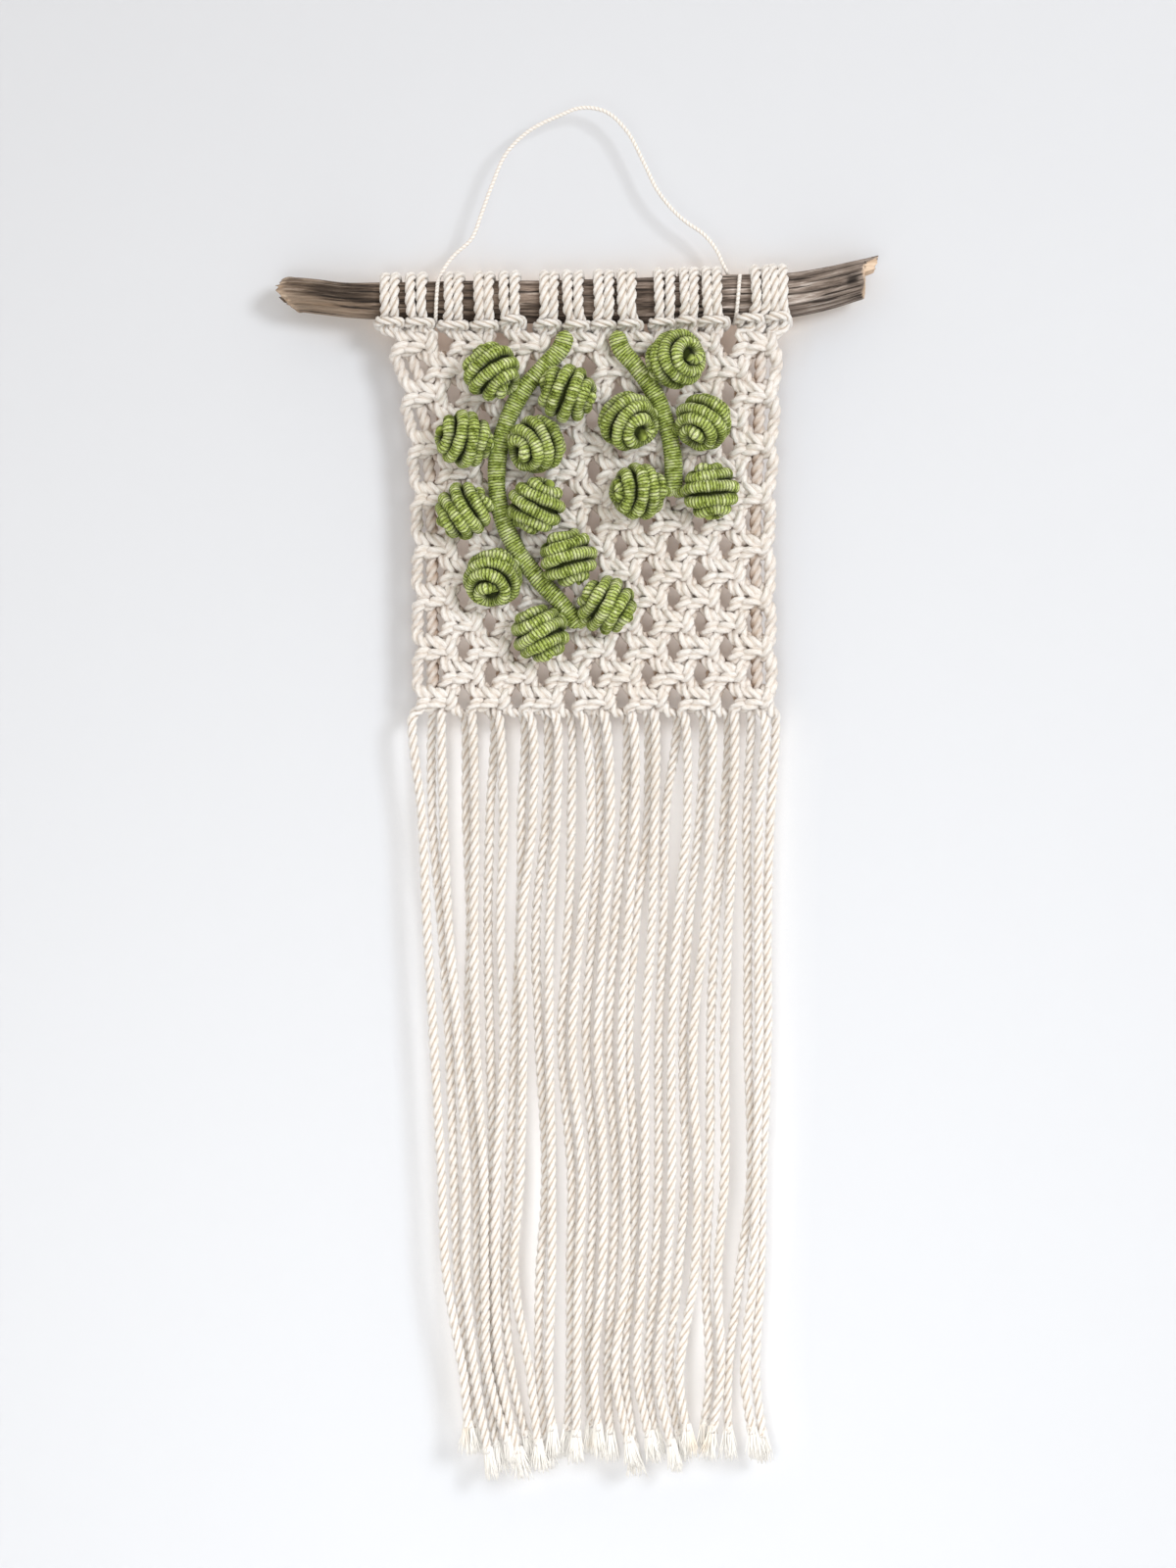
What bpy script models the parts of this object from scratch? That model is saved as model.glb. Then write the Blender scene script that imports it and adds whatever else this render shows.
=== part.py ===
"""A macrame wall hanging on a driftwood rod, in metres, +Z up, its front facing -Y.

The origin is the inside of the hanging loop's top, where one nail carries the whole piece.
Fourteen doubled cotton cords hang from the rod on lark's head hitches. Below them the cords
are tied into a net of alternating square knots, and under the net they run loose as a fringe.
Two sprigs of wrapped green cord with coiled berries lie on the front of the net.
Sizes below are in millimetres unless a name says otherwise, and MM turns them into metres.
"""

import math

import bmesh
import bpy
import numpy as np
from mathutils import Matrix, Vector, geometry

MM = 0.001

# Driving sizes
CORD = 4.0                     # diameter of the three-ply cotton cord
STRING = 1.6                   # diameter of the thin hanging string
SEAT_GAP = 0.35                # air left between pieces that touch
NET_Y = -3.0                   # middle plane of the net and the fringe, in front of the rod's axis
ROWS = 15                      # rows of square knots
COLUMNS = 13                   # half-pitch columns: seven knots in even rows, six in odd rows
ROW_TOP_Z = -95.6              # height of the first row of knots
ROW_PITCH = 10.34
NET_TOP_Z = -91.4
NET_BOTTOM_Z = -246.2
EDGE_BAND = 1.5                # how far the loose edge cords stand in, between the edge knots

# Rod: middle line and radius at places along it, left to right
ROD_SECTIONS = [
    # x, z, radius
    (-122.4, -75.4, 6.2),
    (-121.2, -75.4, 6.9),
    (-117.0, -75.5, 7.0),
    (-108.0, -76.2, 7.0),
    (-96.8, -77.6, 7.0),
    (-82.8, -78.2, 7.5),
    (-60.8, -78.4, 8.1),
    (-36.8, -78.4, 8.5),
    (-12.8, -78.4, 8.8),
    (3.2, -78.4, 9.1),
    (27.2, -78.0, 9.2),
    (51.2, -77.2, 9.1),
    (67.2, -76.6, 9.0),
    (86.4, -75.6, 8.9),
    (103.6, -72.2, 8.6),
    (112.0, -69.9, 8.3),
    (115.8, -68.9, 8.1),
]
ROD_SIDES = 18
ROD_RINGS = 34
ROD_LUMP = 0.03                # share of the radius that knots and worn flats change
LEFT_CUT = (-2.6, 4.4)         # the slanting left end: x changes by a s + b s s, s = sine round it
LEFT_CUT_REACH = 14.0          # the slant fades over this length
BREAK_LENGTH = 5.2             # how far the top of the right end sticks out past its break

# Lark's heads: middle of the two strands on the rod, middle and half width of the fold's bar
HEADS = [
    # strands_x, bar_x, bar_half
    (-77.8, -77.4, 5.9),
    (-66.2, -65.3, 5.7),
    (-51.8, -51.7, 6.4),
    (-39.0, -38.8, 5.7),
    (-28.4, -27.4, 4.8),
    (-13.4, -13.2, 5.0),
    (-1.8, -1.2, 5.3),
    (8.6, 9.4, 4.8),
    (19.6, 20.2, 4.8),
    (34.2, 33.4, 5.3),
    (43.8, 43.3, 3.9),
    (54.4, 54.2, 6.5),
    (72.6, 68.9, 5.8),
    (81.4, 80.2, 4.9),
]
HEAD_HALF = 4.15               # half the width of two strands side by side
HEAD_START = -50.0             # degrees from the rod's back, below it
HEAD_STEPS = 8                 # sections round the rod
BAR_Z = -88.4
BAR_HEIGHT = 4.8
BAR_DEPTH = 4.9

# Net: the left and right edges at rows of knots
NET_EDGES = [
    # row, left_x, right_x
    (0, -78.4, 83.2),
    (2, -74.0, 82.4),
    (4, -71.0, 81.6),
    (7, -69.2, 80.0),
    (14, -68.8, 81.0),
]
HOLE_HALF_WIDTH = 2.7
HOLE_HALF_HEIGHT = 3.6
TOP_HOLE_RISE = 3.0            # the holes of the first row stop under the hitches
FLAT_RELIEF = 2.1              # height of the cords at the rim of a hole, from the middle plane
GROOVE_RELIEF = 3.2
PLAIN_RELIEF = 4.4
RIDGE_RELIEF = 5.2
BACK_SHARE = 0.8               # the back stands this much less proud than the front

# Fringe: one row a cord, x at heights down the fringe, and the tip
FRINGE_HEIGHTS = (-247.6, -288.4, -331.2, -379.2, -435.2, -475.2, -515.2)
FRINGE = [
    # root, high, upper, middle, lower, low, hem, tip_x, tip_z
    (-68, -64.4, -62.4, -59.6, -56.4, -54.4, -47.6, -45.6, -545.2),
    (-60.4, -60.4, -56.8, -53.6, -51.6, -50, -46, -42.4, -546),
    (-56.4, -55.6, -53.6, -49.6, -46.4, -46.4, -42.8, -37.6, -555.6),
    (-47.6, -46.4, -44.8, -45.6, -42.4, -42, -38.8, -34, -554.4),
    (-44, -42.8, -43.2, -42.4, -39.2, -38.8, -37.2, -29.6, -551.2),
    (-35.6, -36.8, -37.6, -36.8, -35.6, -36.8, -34.4, -28, -548.8),
    (-33.2, -31.2, -32.4, -31.2, -34, -34.4, -32.4, -25.2, -555.6),
    (-23.6, -24, -24.4, -26.8, -28.8, -30.8, -28, -22, -550.4),
    (-20.4, -19.2, -23.6, -23.2, -24.4, -26.8, -20.4, -17.2, -552.4),
    (-14, -14, -18, -16.8, -14, -16.4, -16.8, -14.4, -552.4),
    (-10, -9.6, -12.4, -12.4, -11.6, -11.6, -12.8, -11.6, -546.4),
    (-4.4, -3.6, -4.8, -7.6, -3.6, -4, -4, -5.2, -548),
    (0.8, 4.4, 0.4, -3.2, 0.8, -0.8, -1.2, -1.6, -548.8),
    (6, 8, 5.2, 2.4, 5.6, 4, 3.6, 4.4, -546.4),
    (10, 12.4, 10, 7.2, 9.6, 8.8, 5.6, 7.2, -546.4),
    (18, 18, 14.4, 11.6, 14.4, 13.2, 11.2, 12, -549.2),
    (21.2, 22.4, 19.6, 16.8, 18.4, 18.4, 14.4, 19.6, -551.2),
    (27.2, 27.6, 22.8, 20, 22.4, 20.8, 18.4, 22, -555.6),
    (30.4, 30.4, 29.2, 26.4, 26.4, 25.2, 23.2, 28, -548.8),
    (39.2, 34.8, 34, 32, 32, 30.4, 27.6, 30.4, -548.8),
    (42.4, 43.6, 39.6, 37.2, 37.2, 35.2, 31.6, 36.8, -552.4),
    (49.6, 48.8, 44.4, 42, 42.8, 40, 36.4, 40, -549.6),
    (53.2, 52.8, 50.8, 46, 47.6, 46.4, 40.4, 43.2, -546.4),
    (59.6, 58.8, 55.2, 53.2, 52.8, 51.2, 52.8, 50.8, -546),
    (62.8, 62.4, 60.4, 58.8, 58.8, 56, 57.2, 54, -547.2),
    (69.6, 68, 68.4, 68.4, 69.6, 65.2, 60.4, 60.4, -548.8),
    (74.8, 72.8, 72.4, 72.8, 71.6, 70.4, 66.8, 70, -547.6),
    (79.6, 77.6, 76.4, 76.4, 74.4, 73.6, 71.6, 74.4, -550.4),
]
STRIP_TOP_Z = NET_BOTTOM_Z - SEAT_GAP
STRIP_HEIGHT = 3.2
LAYER = 2.3                    # the cords lie in two layers, this far before and behind the plane
STRAND_HALF = 1.75             # half the side of a loose cord's square section
STRAND_RINGS = 11

# Hanging string: the loop's route from the left wrap to the right one
STRING_LOOP = [
    # x, y, z
    (-55.2, -0.6, -64.4),
    (-51.6, 0.0, -59.6),
    (-44.4, 0.0, -52.8),
    (-40.4, 0.0, -42.8),
    (-36.0, 0.0, -30.8),
    (-30.0, 0.0, -17.6),
    (-21.6, 0.0, -9.2),
    (-8.4, 0.0, -2.4),
    (0.4, 0.0, STRING / 2),
    (10.4, 0.0, -0.8),
    (18.8, 0.0, -8.4),
    (25.6, 0.0, -20.8),
    (32.0, 0.0, -33.6),
    (42.4, 0.0, -45.2),
    (50.8, 0.0, -51.2),
    (55.6, 0.2, -57.2),
    (58.8, 0.8, -64.0),
]
LEFT_WRAP = (-60.6, -57.5, 60.0, -262.0)     # x from and to, degrees from and to
RIGHT_WRAP = (60.2, 65.0, 82.0, -235.0)
WRAP_POINTS = 16
LOOP_POINTS = 46

# Sprigs: routes of the two stems over the net, and how the berries sit along them
STEM = 7.4
STEM_ROUTES = {
    "left": [(-5.4, -91.7), (-7.4, -98), (-14.5, -106), (-22.5, -115), (-29.5, -128),
             (-33.5, -144), (-33, -161), (-27, -178), (-17, -192), (-6, -204), (-0.6, -211.7)],
    "right": [(14.6, -91.7), (16.2, -98), (22.5, -106), (29.5, -116), (34.5, -128),
              (37.5, -142), (38, -157.4)],
}
BERRIES = {
    # 1 left of the stem or -1 right of it, number, first place and spacing beside the stem
    "left": [(1, 5, 27.0, 29.5), (-1, 5, 26.0, 24.8)],
    "right": [(-1, 3, 18.5, 28.0), (1, 2, 39.5, 28.5)],
}
STEM_STEP = 5.0
BERRY_RADIUS = 12.0
BERRY_HALF_DEPTH = 10.2
BERRY_OFFSET = 14.45           # from the stem's middle line to the berry's
BERRY_BED = 0.65               # how far a berry beds in between the knots
BERRY_ROWS = 12
BERRY_SEGMENTS = 10
BERRY_GROOVE = 0.92            # radius in the grooves between the windings
BERRY_TILT = 0.9               # radians, the winding's axis from the line of sight
GOLDEN_ANGLE = 2.4             # radians, turns each berry's windings from the last one's

NET_FRONT_Y = NET_Y - RIDGE_RELIEF
STEM_Y = NET_FRONT_Y - SEAT_GAP - STEM / 2
BERRY_Y = NET_FRONT_Y - SEAT_GAP - BERRY_HALF_DEPTH + BERRY_BED

COTTON = ("cream_cotton", (0.80, 0.73, 0.63), 0.85)
WOOD = ("weathered_wood", (0.27, 0.22, 0.19), 0.8)
GREEN = ("green_wrapped_yarn", (0.20, 0.33, 0.07), 0.8)
TWINE = ("thin_twine", (0.62, 0.53, 0.46), 0.8)


def clear_scene():
    for item in list(bpy.data.objects):
        bpy.data.objects.remove(item, do_unlink=True)


def new_collection(name):
    collection = bpy.data.collections.new(name)
    bpy.context.scene.collection.children.link(collection)
    return collection


def material(finish):
    """The finish's own Principled material, made once."""
    name, colour, roughness = finish
    found = bpy.data.materials.get(name)
    if found:
        return found
    made = bpy.data.materials.new(name)
    made.use_nodes = True
    shader = made.node_tree.nodes["Principled BSDF"]
    shader.inputs["Base Color"].default_value = (*colour, 1.0)
    shader.inputs["Roughness"].default_value = roughness
    shader.inputs["Metallic"].default_value = 0.0
    return made


def add_mesh(name, points, faces, finish, collection):
    """One object from points in millimetres, its faces turned outwards."""
    mesh = bpy.data.meshes.new(name)
    mesh.from_pydata((np.asarray(points, float) * MM).tolist(), [], faces)
    cage = bmesh.new()
    cage.from_mesh(mesh)
    bmesh.ops.recalc_face_normals(cage, faces=cage.faces)
    cage.to_mesh(mesh)
    cage.free()
    mesh.materials.append(material(finish))
    made = bpy.data.objects.new(name, mesh)
    collection.objects.link(made)
    return made


def curve_through(at, knots, values):
    """Cubic Hermite curve through the values at the knots, with slopes from their neighbours."""
    knots = np.asarray(knots, float)
    values = np.asarray(values, float)
    slopes = np.gradient(values, knots, axis=0)
    k = np.clip(np.searchsorted(knots, at) - 1, 0, len(knots) - 2)
    span = knots[k + 1] - knots[k]
    t = (at - knots[k]) / span
    if values.ndim > 1:
        span, t = span[..., None], t[..., None]
    start = (1 + 2 * t) * (1 - t) ** 2 * values[k] + t * (1 - t) ** 2 * span * slopes[k]
    end = t * t * (3 - 2 * t) * values[k + 1] + t * t * (t - 1) * span * slopes[k + 1]
    return start + end


def route_points(route, count):
    """The route as a smooth line of evenly spaced points: a Hermite curve on chord length."""
    route = np.asarray(route, float)
    chord = np.append(0, np.cumsum(np.linalg.norm(np.diff(route, axis=0), axis=1)))
    fine = curve_through(np.linspace(0, chord[-1], 600), chord, route)
    run = np.append(0, np.cumsum(np.linalg.norm(np.diff(fine, axis=0), axis=1)))
    even = np.linspace(0, run[-1], count)
    return np.stack([np.interp(even, run, fine[:, k]) for k in range(route.shape[1])], axis=1)


def loft_faces(rings, around, first=0):
    """Quads between successive rings of equal count, with one flat cap at each end."""
    faces = []
    for ring in range(rings - 1):
        low = first + ring * around
        for k in range(around):
            after = (k + 1) % around
            faces.append((low + k, low + after, low + around + after, low + around + k))
    faces.append(tuple(first + k for k in range(around)))
    last = first + (rings - 1) * around
    faces.append(tuple(last + k for k in reversed(range(around))))
    return faces


def rod_shape(x):
    """Height of the rod's middle line and its radius at x."""
    sections = np.array(ROD_SECTIONS)
    return curve_through(np.asarray(x, float), sections[:, 0], sections[:, 1:]).T


def rod_clearance(x, reach):
    """Height of the rod's middle line at x and the largest radius within reach of it."""
    spots = x + np.linspace(-reach, reach, 5)
    height, radius = rod_shape(spots)
    return height[2], radius.max() * (1 + ROD_LUMP)


def build_rod(collection):
    """The stick: rings along its line, their radius varied by two slow waves round it."""
    sections = np.array(ROD_SECTIONS)
    inner = np.linspace(sections[2, 0], sections[-2, 0], ROD_RINGS - 4)
    stations = np.concatenate([sections[:2, 0], inner, sections[-1:, 0], sections[-1:, 0] + 0.3])
    height, radius = rod_shape(np.minimum(stations, sections[-1, 0]))
    radius[-1] *= 0.94
    turn = np.linspace(0, 2 * math.pi, ROD_SIDES, endpoint=False)
    along, around = np.meshgrid(stations, turn, indexing="ij")
    wave = 0.6 * np.sin(3 * around + along / 19) + 0.4 * np.sin(2 * around - along / 31)
    reach = radius[:, None] * (1 + ROD_LUMP * wave)
    s = np.sin(around)
    fade = np.clip(1 - (along - stations[0]) / LEFT_CUT_REACH, 0, 1)
    x = along + fade * (LEFT_CUT[0] * s + LEFT_CUT[1] * s * s)
    x[-1] += BREAK_LENGTH * np.clip((s[-1] - 0.05) / 0.35, 0, 1)
    points = np.stack([x, reach * np.cos(around), height[:, None] + reach * np.sin(around)], -1)
    faces = loft_faces(len(stations), ROD_SIDES)
    return add_mesh("driftwood_rod", points.reshape(-1, 3), faces, WOOD, collection)


def build_head(number, row, collection):
    """One hitch: two ridged strands from behind the rod, over it and down to the fold's bar.

    Each section is a ridge, a groove and a ridge on a flat inner side. Round the rod the inner
    side follows a circle, in front it drops straight, and the last sections widen into the bar.
    """
    strands_x, bar_x, bar_half = row
    rod_z, rod_radius = rod_clearance(strands_x, HEAD_HALF)
    angles = np.radians(np.linspace(HEAD_START, 180, HEAD_STEPS))
    half_step = (angles[1] - angles[0]) / 2
    inner = (rod_radius + SEAT_GAP) / math.cos(half_step)
    bar_top, bar_bottom = BAR_Z + BAR_HEIGHT / 2, BAR_Z - BAR_HEIGHT / 2
    sections = []
    for angle in angles:
        out = (math.cos(angle), math.sin(angle))
        spot = (inner * out[0], rod_z + inner * out[1])
        sections.append((strands_x, spot, out, HEAD_HALF, 0.58, CORD, 0.6 * CORD))
    front = (-1.0, 0.0)
    neck = (-inner, bar_top + 0.5)
    sections.append((strands_x, neck, front, HEAD_HALF, 0.58, CORD, 0.6 * CORD))
    for height, share in ((bar_top - 0.4, 0.85), (BAR_Z, 1.0), (bar_bottom, 0.55)):
        spot = (-inner + BAR_DEPTH * (1 - share) / 2, height)
        depth = BAR_DEPTH * share
        sections.append((bar_x, spot, front, bar_half, 0.86, depth, depth))
    points = []
    for middle, spot, out, half, shoulder, ridge, groove in sections:
        for across, rise in ((-1, 0), (-shoulder, ridge), (0, groove), (shoulder, ridge), (1, 0)):
            points.append((middle + across * half, spot[0] + rise * out[0], spot[1] + rise * out[1]))
    faces = loft_faces(len(sections), 5)
    return add_mesh(f"larks_head_{number:02d}", points, faces, COTTON, collection)


def net_place(column, row):
    """Where the knot or hole of a half-pitch column and a row lies, with the row's half pitch."""
    edges = np.array(NET_EDGES, float)
    left = np.interp(row, edges[:, 0], edges[:, 1])
    right = np.interp(row, edges[:, 0], edges[:, 2])
    half_pitch = (right - left) / (COLUMNS + 1)
    return left + half_pitch * (column + 1), ROW_TOP_Z - ROW_PITCH * row, half_pitch


def hole_outline(column, row):
    """Five corners of a gap: upright on its left side, pointed at its right, top and bottom."""
    x, z, _ = net_place(column, row)
    rise = TOP_HOLE_RISE if row == 0 else HOLE_HALF_HEIGHT
    half = HOLE_HALF_WIDTH
    return [(x, z + rise), (x - half, z + 1.6), (x - half, z - 1.6), (x, z - HOLE_HALF_HEIGHT),
            (x + half, z)]


def knot_ridges(column, row):
    """Lines of raised points on a knot: two bars that close to the right, with a groove between.

    Only the knots of the rows of six carry the bars; the others are one plain rounded swell.
    """
    x, z, half_pitch = net_place(column, row)
    s = half_pitch / 11.1
    if row % 2 == 0:
        return [([(x - 4.4 * s, z + 0.6), (x + 4.4 * s, z - 0.6)], PLAIN_RELIEF)]
    upper = [(x - 5.6 * s, z + 3.4), (x, z + 2.9), (x + 5.6 * s, z + 1.9)]
    lower = [(px, 2 * z - pz) for px, pz in upper]
    groove = [(x - 4.8 * s, z), (x + 3.4 * s, z)]
    return [(upper, RIDGE_RELIEF), (lower, RIDGE_RELIEF), (groove, GROOVE_RELIEF)]


def net_outline():
    """The net's edge: bulging at the rows of seven, drawn in where the edge cords run free."""
    left, right = [], []
    for step in range(2 * ROWS - 1):
        row = step / 2
        inset = (0, EDGE_BAND * 0.8, EDGE_BAND, EDGE_BAND * 0.8)[step % 4]
        x_left, z, half_pitch = net_place(-1, row)
        x_right = net_place(COLUMNS, row)[0]
        left.append((x_left + inset, z))
        right.append((x_right - inset, z))
    bottom = [(net_place(c, ROWS - 1)[0], NET_BOTTOM_Z) for c in range(COLUMNS)]
    bottom = [(left[-1][0] + 1, NET_BOTTOM_Z), *bottom, (right[-1][0] - 1, NET_BOTTOM_Z)]
    top = [(net_place(c, 0)[0], NET_TOP_Z) for c in reversed(range(COLUMNS))]
    top = [(right[0][0] - 1, NET_TOP_Z), *top, (left[0][0] + 1, NET_TOP_Z)]
    return left + bottom + right[::-1] + top


def build_net(collection):
    """A closed relief: a triangulated plan of the cords, raised to the front and to the back."""
    spots, lines, relief, gaps = [], [], [], []

    def add_line(points, height, closed):
        first = len(spots)
        spots.extend(Vector(p) for p in points)
        relief.extend([height] * len(points))
        count = len(points)
        pairs = count if closed else count - 1
        lines.extend((first + k, first + (k + 1) % count) for k in range(pairs))

    add_line(net_outline(), FLAT_RELIEF, True)
    for row in range(ROWS):
        for column in range(COLUMNS):
            if (row + column) % 2 == 0:
                for points, height in knot_ridges(column, row):
                    add_line(points, height, False)
            elif 0 < column < COLUMNS - 1:
                gaps.append(hole_outline(column, row))
                add_line(gaps[-1], FLAT_RELIEF, True)
    plan = geometry.delaunay_2d_cdt(spots, lines, [], 1, 1e-5)
    flat, triangles, origins = plan[0], plan[2], plan[3]
    height = [relief[origin[0]] for origin in origins]
    middles = [(flat[a] + flat[b] + flat[c]) / 3 for a, b, c in triangles]
    triangles = [t for t, middle in zip(triangles, middles) if not in_a_gap(middle, gaps)]
    front = [(p.x, NET_Y - h, p.y) for p, h in zip(flat, height)]
    back = [(p.x, NET_Y + BACK_SHARE * h, p.y) for p, h in zip(flat, height)]
    count = len(flat)
    edge_uses = {}
    for triangle in triangles:
        for k in range(3):
            pair = (triangle[k], triangle[(k + 1) % 3])
            edge_uses.setdefault(tuple(sorted(pair)), []).append(pair)
    rims = [uses[0] for uses in edge_uses.values() if len(uses) == 1]
    faces = [tuple(t) for t in triangles]
    faces += [tuple(count + k for k in reversed(t)) for t in triangles]
    faces += [(b, a, a + count, b + count) for a, b in rims]
    return add_mesh("knotted_net", front + back, faces, COTTON, collection)


def in_a_gap(point, gaps):
    """True if a point of the plan lies inside one of the gaps, which are all convex."""
    for corners in gaps:
        if abs(corners[0][0] - point.x) > 2 * HOLE_HALF_WIDTH:
            continue
        signs = []
        for k, a in enumerate(corners):
            b = corners[(k + 1) % len(corners)]
            signs.append((b[0] - a[0]) * (point.y - a[1]) - (b[1] - a[1]) * (point.x - a[0]))
        if all(s > 0 for s in signs) or all(s < 0 for s in signs):
            return True
    return False


def build_fringe(collection, cutters):
    """28 four-sided cords whose roots are fused into one narrow strip under the net."""
    heights = np.array(FRINGE_HEIGHTS)
    points, faces = [], []
    corners = np.array([(-1, -1), (1, -1), (1, 1), (-1, 1)]) * STRAND_HALF
    for index, row in enumerate(FRINGE):
        knots = -np.append(heights, row[-1])
        x_at = np.array(row[:-1])
        drop = np.linspace(-STRIP_TOP_Z + STRIP_HEIGHT / 2, knots[-1], STRAND_RINGS)
        x = curve_through(drop, knots, x_at)
        y = NET_Y + (LAYER if index % 2 else -LAYER)
        first = len(points)
        for px, pz in zip(x, -drop):
            points.extend((px + a, y + b, pz) for a, b in corners)
        faces.extend(loft_faces(STRAND_RINGS, 4, first))
    strands = add_mesh("fringe_strands", points, faces, COTTON, cutters)
    strands.hide_render = True
    strands.display_type = "WIRE"
    left, right = FRINGE[0][0] - 2.6, FRINGE[-1][0] + 2.6
    size = (right - left, 2 * (LAYER + STRAND_HALF) + 0.4, STRIP_HEIGHT)
    centre = ((left + right) / 2, NET_Y, STRIP_TOP_Z - STRIP_HEIGHT / 2)
    bpy.ops.mesh.primitive_cube_add(size=1)
    strip = bpy.context.object
    strip.name = strip.data.name = "fringe"
    strip.data.transform(Matrix.Diagonal((*size, 1 / MM)) * MM)
    strip.data.transform(Matrix.Translation(Vector(centre) * MM))
    strip.data.materials.append(material(COTTON))
    for owner in list(strip.users_collection):
        owner.objects.unlink(strip)
    collection.objects.link(strip)
    union = strip.modifiers.new("roots", "BOOLEAN")
    union.operation = "UNION"
    union.solver = "EXACT"
    union.object = strands
    return strip


def wrap_points(wrap, count):
    """A turn of the string round the rod: a helix that hugs the rod's radius."""
    x_from, x_to, turn_from, turn_to = wrap
    x = np.linspace(x_from, x_to, count)
    turn = np.radians(np.linspace(turn_from, turn_to, count))
    height, radius = rod_shape(x)
    reach = radius * (1 + ROD_LUMP) + SEAT_GAP + STRING / 2
    return np.stack([x, reach * np.cos(turn), height + reach * np.sin(turn)], -1)


def add_tube(name, points, diameter, finish, collection):
    """A round cord: a poly curve with a bevel and filled ends."""
    curve = bpy.data.curves.new(name, "CURVE")
    curve.dimensions = "3D"
    curve.bevel_depth = diameter / 2 * MM
    curve.bevel_resolution = 2
    curve.use_fill_caps = True
    spline = curve.splines.new("POLY")
    spline.points.add(len(points) - 1)
    for place, point in zip(spline.points, points):
        place.co = (*(float(v) * MM for v in point), 1.0)
    curve.materials.append(material(finish))
    made = bpy.data.objects.new(name, curve)
    collection.objects.link(made)
    return made


def build_string(collection):
    """The string: a turn round the rod, the slack loop over the nail, and a turn on the right."""
    left = wrap_points(LEFT_WRAP, WRAP_POINTS)
    right = wrap_points(RIGHT_WRAP, WRAP_POINTS)
    loop = route_points([left[-1], *STRING_LOOP, right[0]], LOOP_POINTS)
    route = np.concatenate([left, loop[1:-1], right])
    return add_tube("hanging_string", route, STRING, TWINE, collection)


def stem_line(side):
    """Points of a stem's middle line at the net's front."""
    route = np.array(STEM_ROUTES[side], float)
    length = np.linalg.norm(np.diff(route, axis=0), axis=1).sum()
    flat = route_points(route, int(length / STEM_STEP) + 1)
    return np.stack([flat[:, 0], np.full(len(flat), STEM_Y), flat[:, 1]], axis=1)


def berry_places(side):
    """Berries sit at even spacing along a line beside the stem, one such line on either side."""
    line = stem_line(side)[:, (0, 2)]
    along = np.gradient(line, axis=0)
    along /= np.linalg.norm(along, axis=1, keepdims=True)
    across = np.stack([along[:, 1], -along[:, 0]], axis=1)
    places = []
    for hand, count, first, spacing in BERRIES[side]:
        beside = line + hand * BERRY_OFFSET * across
        run = np.append(0, np.cumsum(np.linalg.norm(np.diff(beside, axis=0), axis=1)))
        for at in first + spacing * np.arange(count):
            places.append([np.interp(at, run, axis) for axis in beside.T])
    return places


def build_berry(number, place, collection):
    """A berry: a sphere whose rows rise and sink as windings, tilted, then flattened in depth."""
    cage = bmesh.new()
    bmesh.ops.create_uvsphere(cage, u_segments=BERRY_SEGMENTS, v_segments=BERRY_ROWS, radius=1.0)
    spin = Matrix.Rotation(number * GOLDEN_ANGLE, 3, "Y") @ Matrix.Rotation(BERRY_TILT, 3, "X")
    size = Vector((BERRY_RADIUS, BERRY_HALF_DEPTH, BERRY_RADIUS)) * MM
    centre = Vector((place[0], BERRY_Y, place[1])) * MM
    for vertex in cage.verts:
        row = round(math.acos(max(-1.0, min(1.0, vertex.co.z))) / math.pi * BERRY_ROWS)
        winding = vertex.co * (BERRY_GROOVE if row % 2 else 1.0)
        vertex.co = centre + size * (spin @ winding)
    mesh = bpy.data.meshes.new(f"berry_{number:02d}")
    cage.to_mesh(mesh)
    cage.free()
    mesh.materials.append(material(GREEN))
    made = bpy.data.objects.new(mesh.name, mesh)
    collection.objects.link(made)
    return made


def build_sprigs(collection):
    number = 0
    for side in ("left", "right"):
        add_tube(f"sprig_stem_{side}", stem_line(side), STEM, GREEN, collection)
        for place in berry_places(side):
            number += 1
            build_berry(number, place, collection)


def main():
    clear_scene()
    hanging = new_collection("macrame_wall_hanging")
    cutters = new_collection("cutters")
    build_rod(hanging)
    for number, row in enumerate(HEADS, start=1):
        build_head(number, row, hanging)
    build_net(hanging)
    build_fringe(hanging, cutters)
    build_string(hanging)
    build_sprigs(hanging)


main()
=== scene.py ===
import math

import bpy
import numpy as np
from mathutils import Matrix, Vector


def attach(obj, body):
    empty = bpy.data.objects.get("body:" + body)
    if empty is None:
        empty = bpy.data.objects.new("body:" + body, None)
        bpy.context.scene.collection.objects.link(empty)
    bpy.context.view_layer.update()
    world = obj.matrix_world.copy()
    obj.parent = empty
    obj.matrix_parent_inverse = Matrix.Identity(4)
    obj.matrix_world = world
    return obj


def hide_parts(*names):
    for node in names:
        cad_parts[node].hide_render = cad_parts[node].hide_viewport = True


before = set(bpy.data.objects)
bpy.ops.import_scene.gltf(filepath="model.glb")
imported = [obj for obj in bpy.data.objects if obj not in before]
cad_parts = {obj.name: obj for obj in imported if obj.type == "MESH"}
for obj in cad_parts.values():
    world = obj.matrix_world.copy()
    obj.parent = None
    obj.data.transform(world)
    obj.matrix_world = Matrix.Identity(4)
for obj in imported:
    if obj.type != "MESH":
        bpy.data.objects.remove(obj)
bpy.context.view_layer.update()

# Sizes are in millimetres, as in the part's source, and MM turns them into metres.
MM = 0.001
TAU = 2 * math.pi
CORD_RADIUS = 2.0
KNOTTED_RADIUS = 2.58          # a cord looks this thick where the knots squeeze it out
NET_Y = -3.0
NET_MIDDLE_X = 6.1
ROWS = 15
ROW_TOP_Z = -95.6
ROW_PITCH = 10.34
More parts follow.
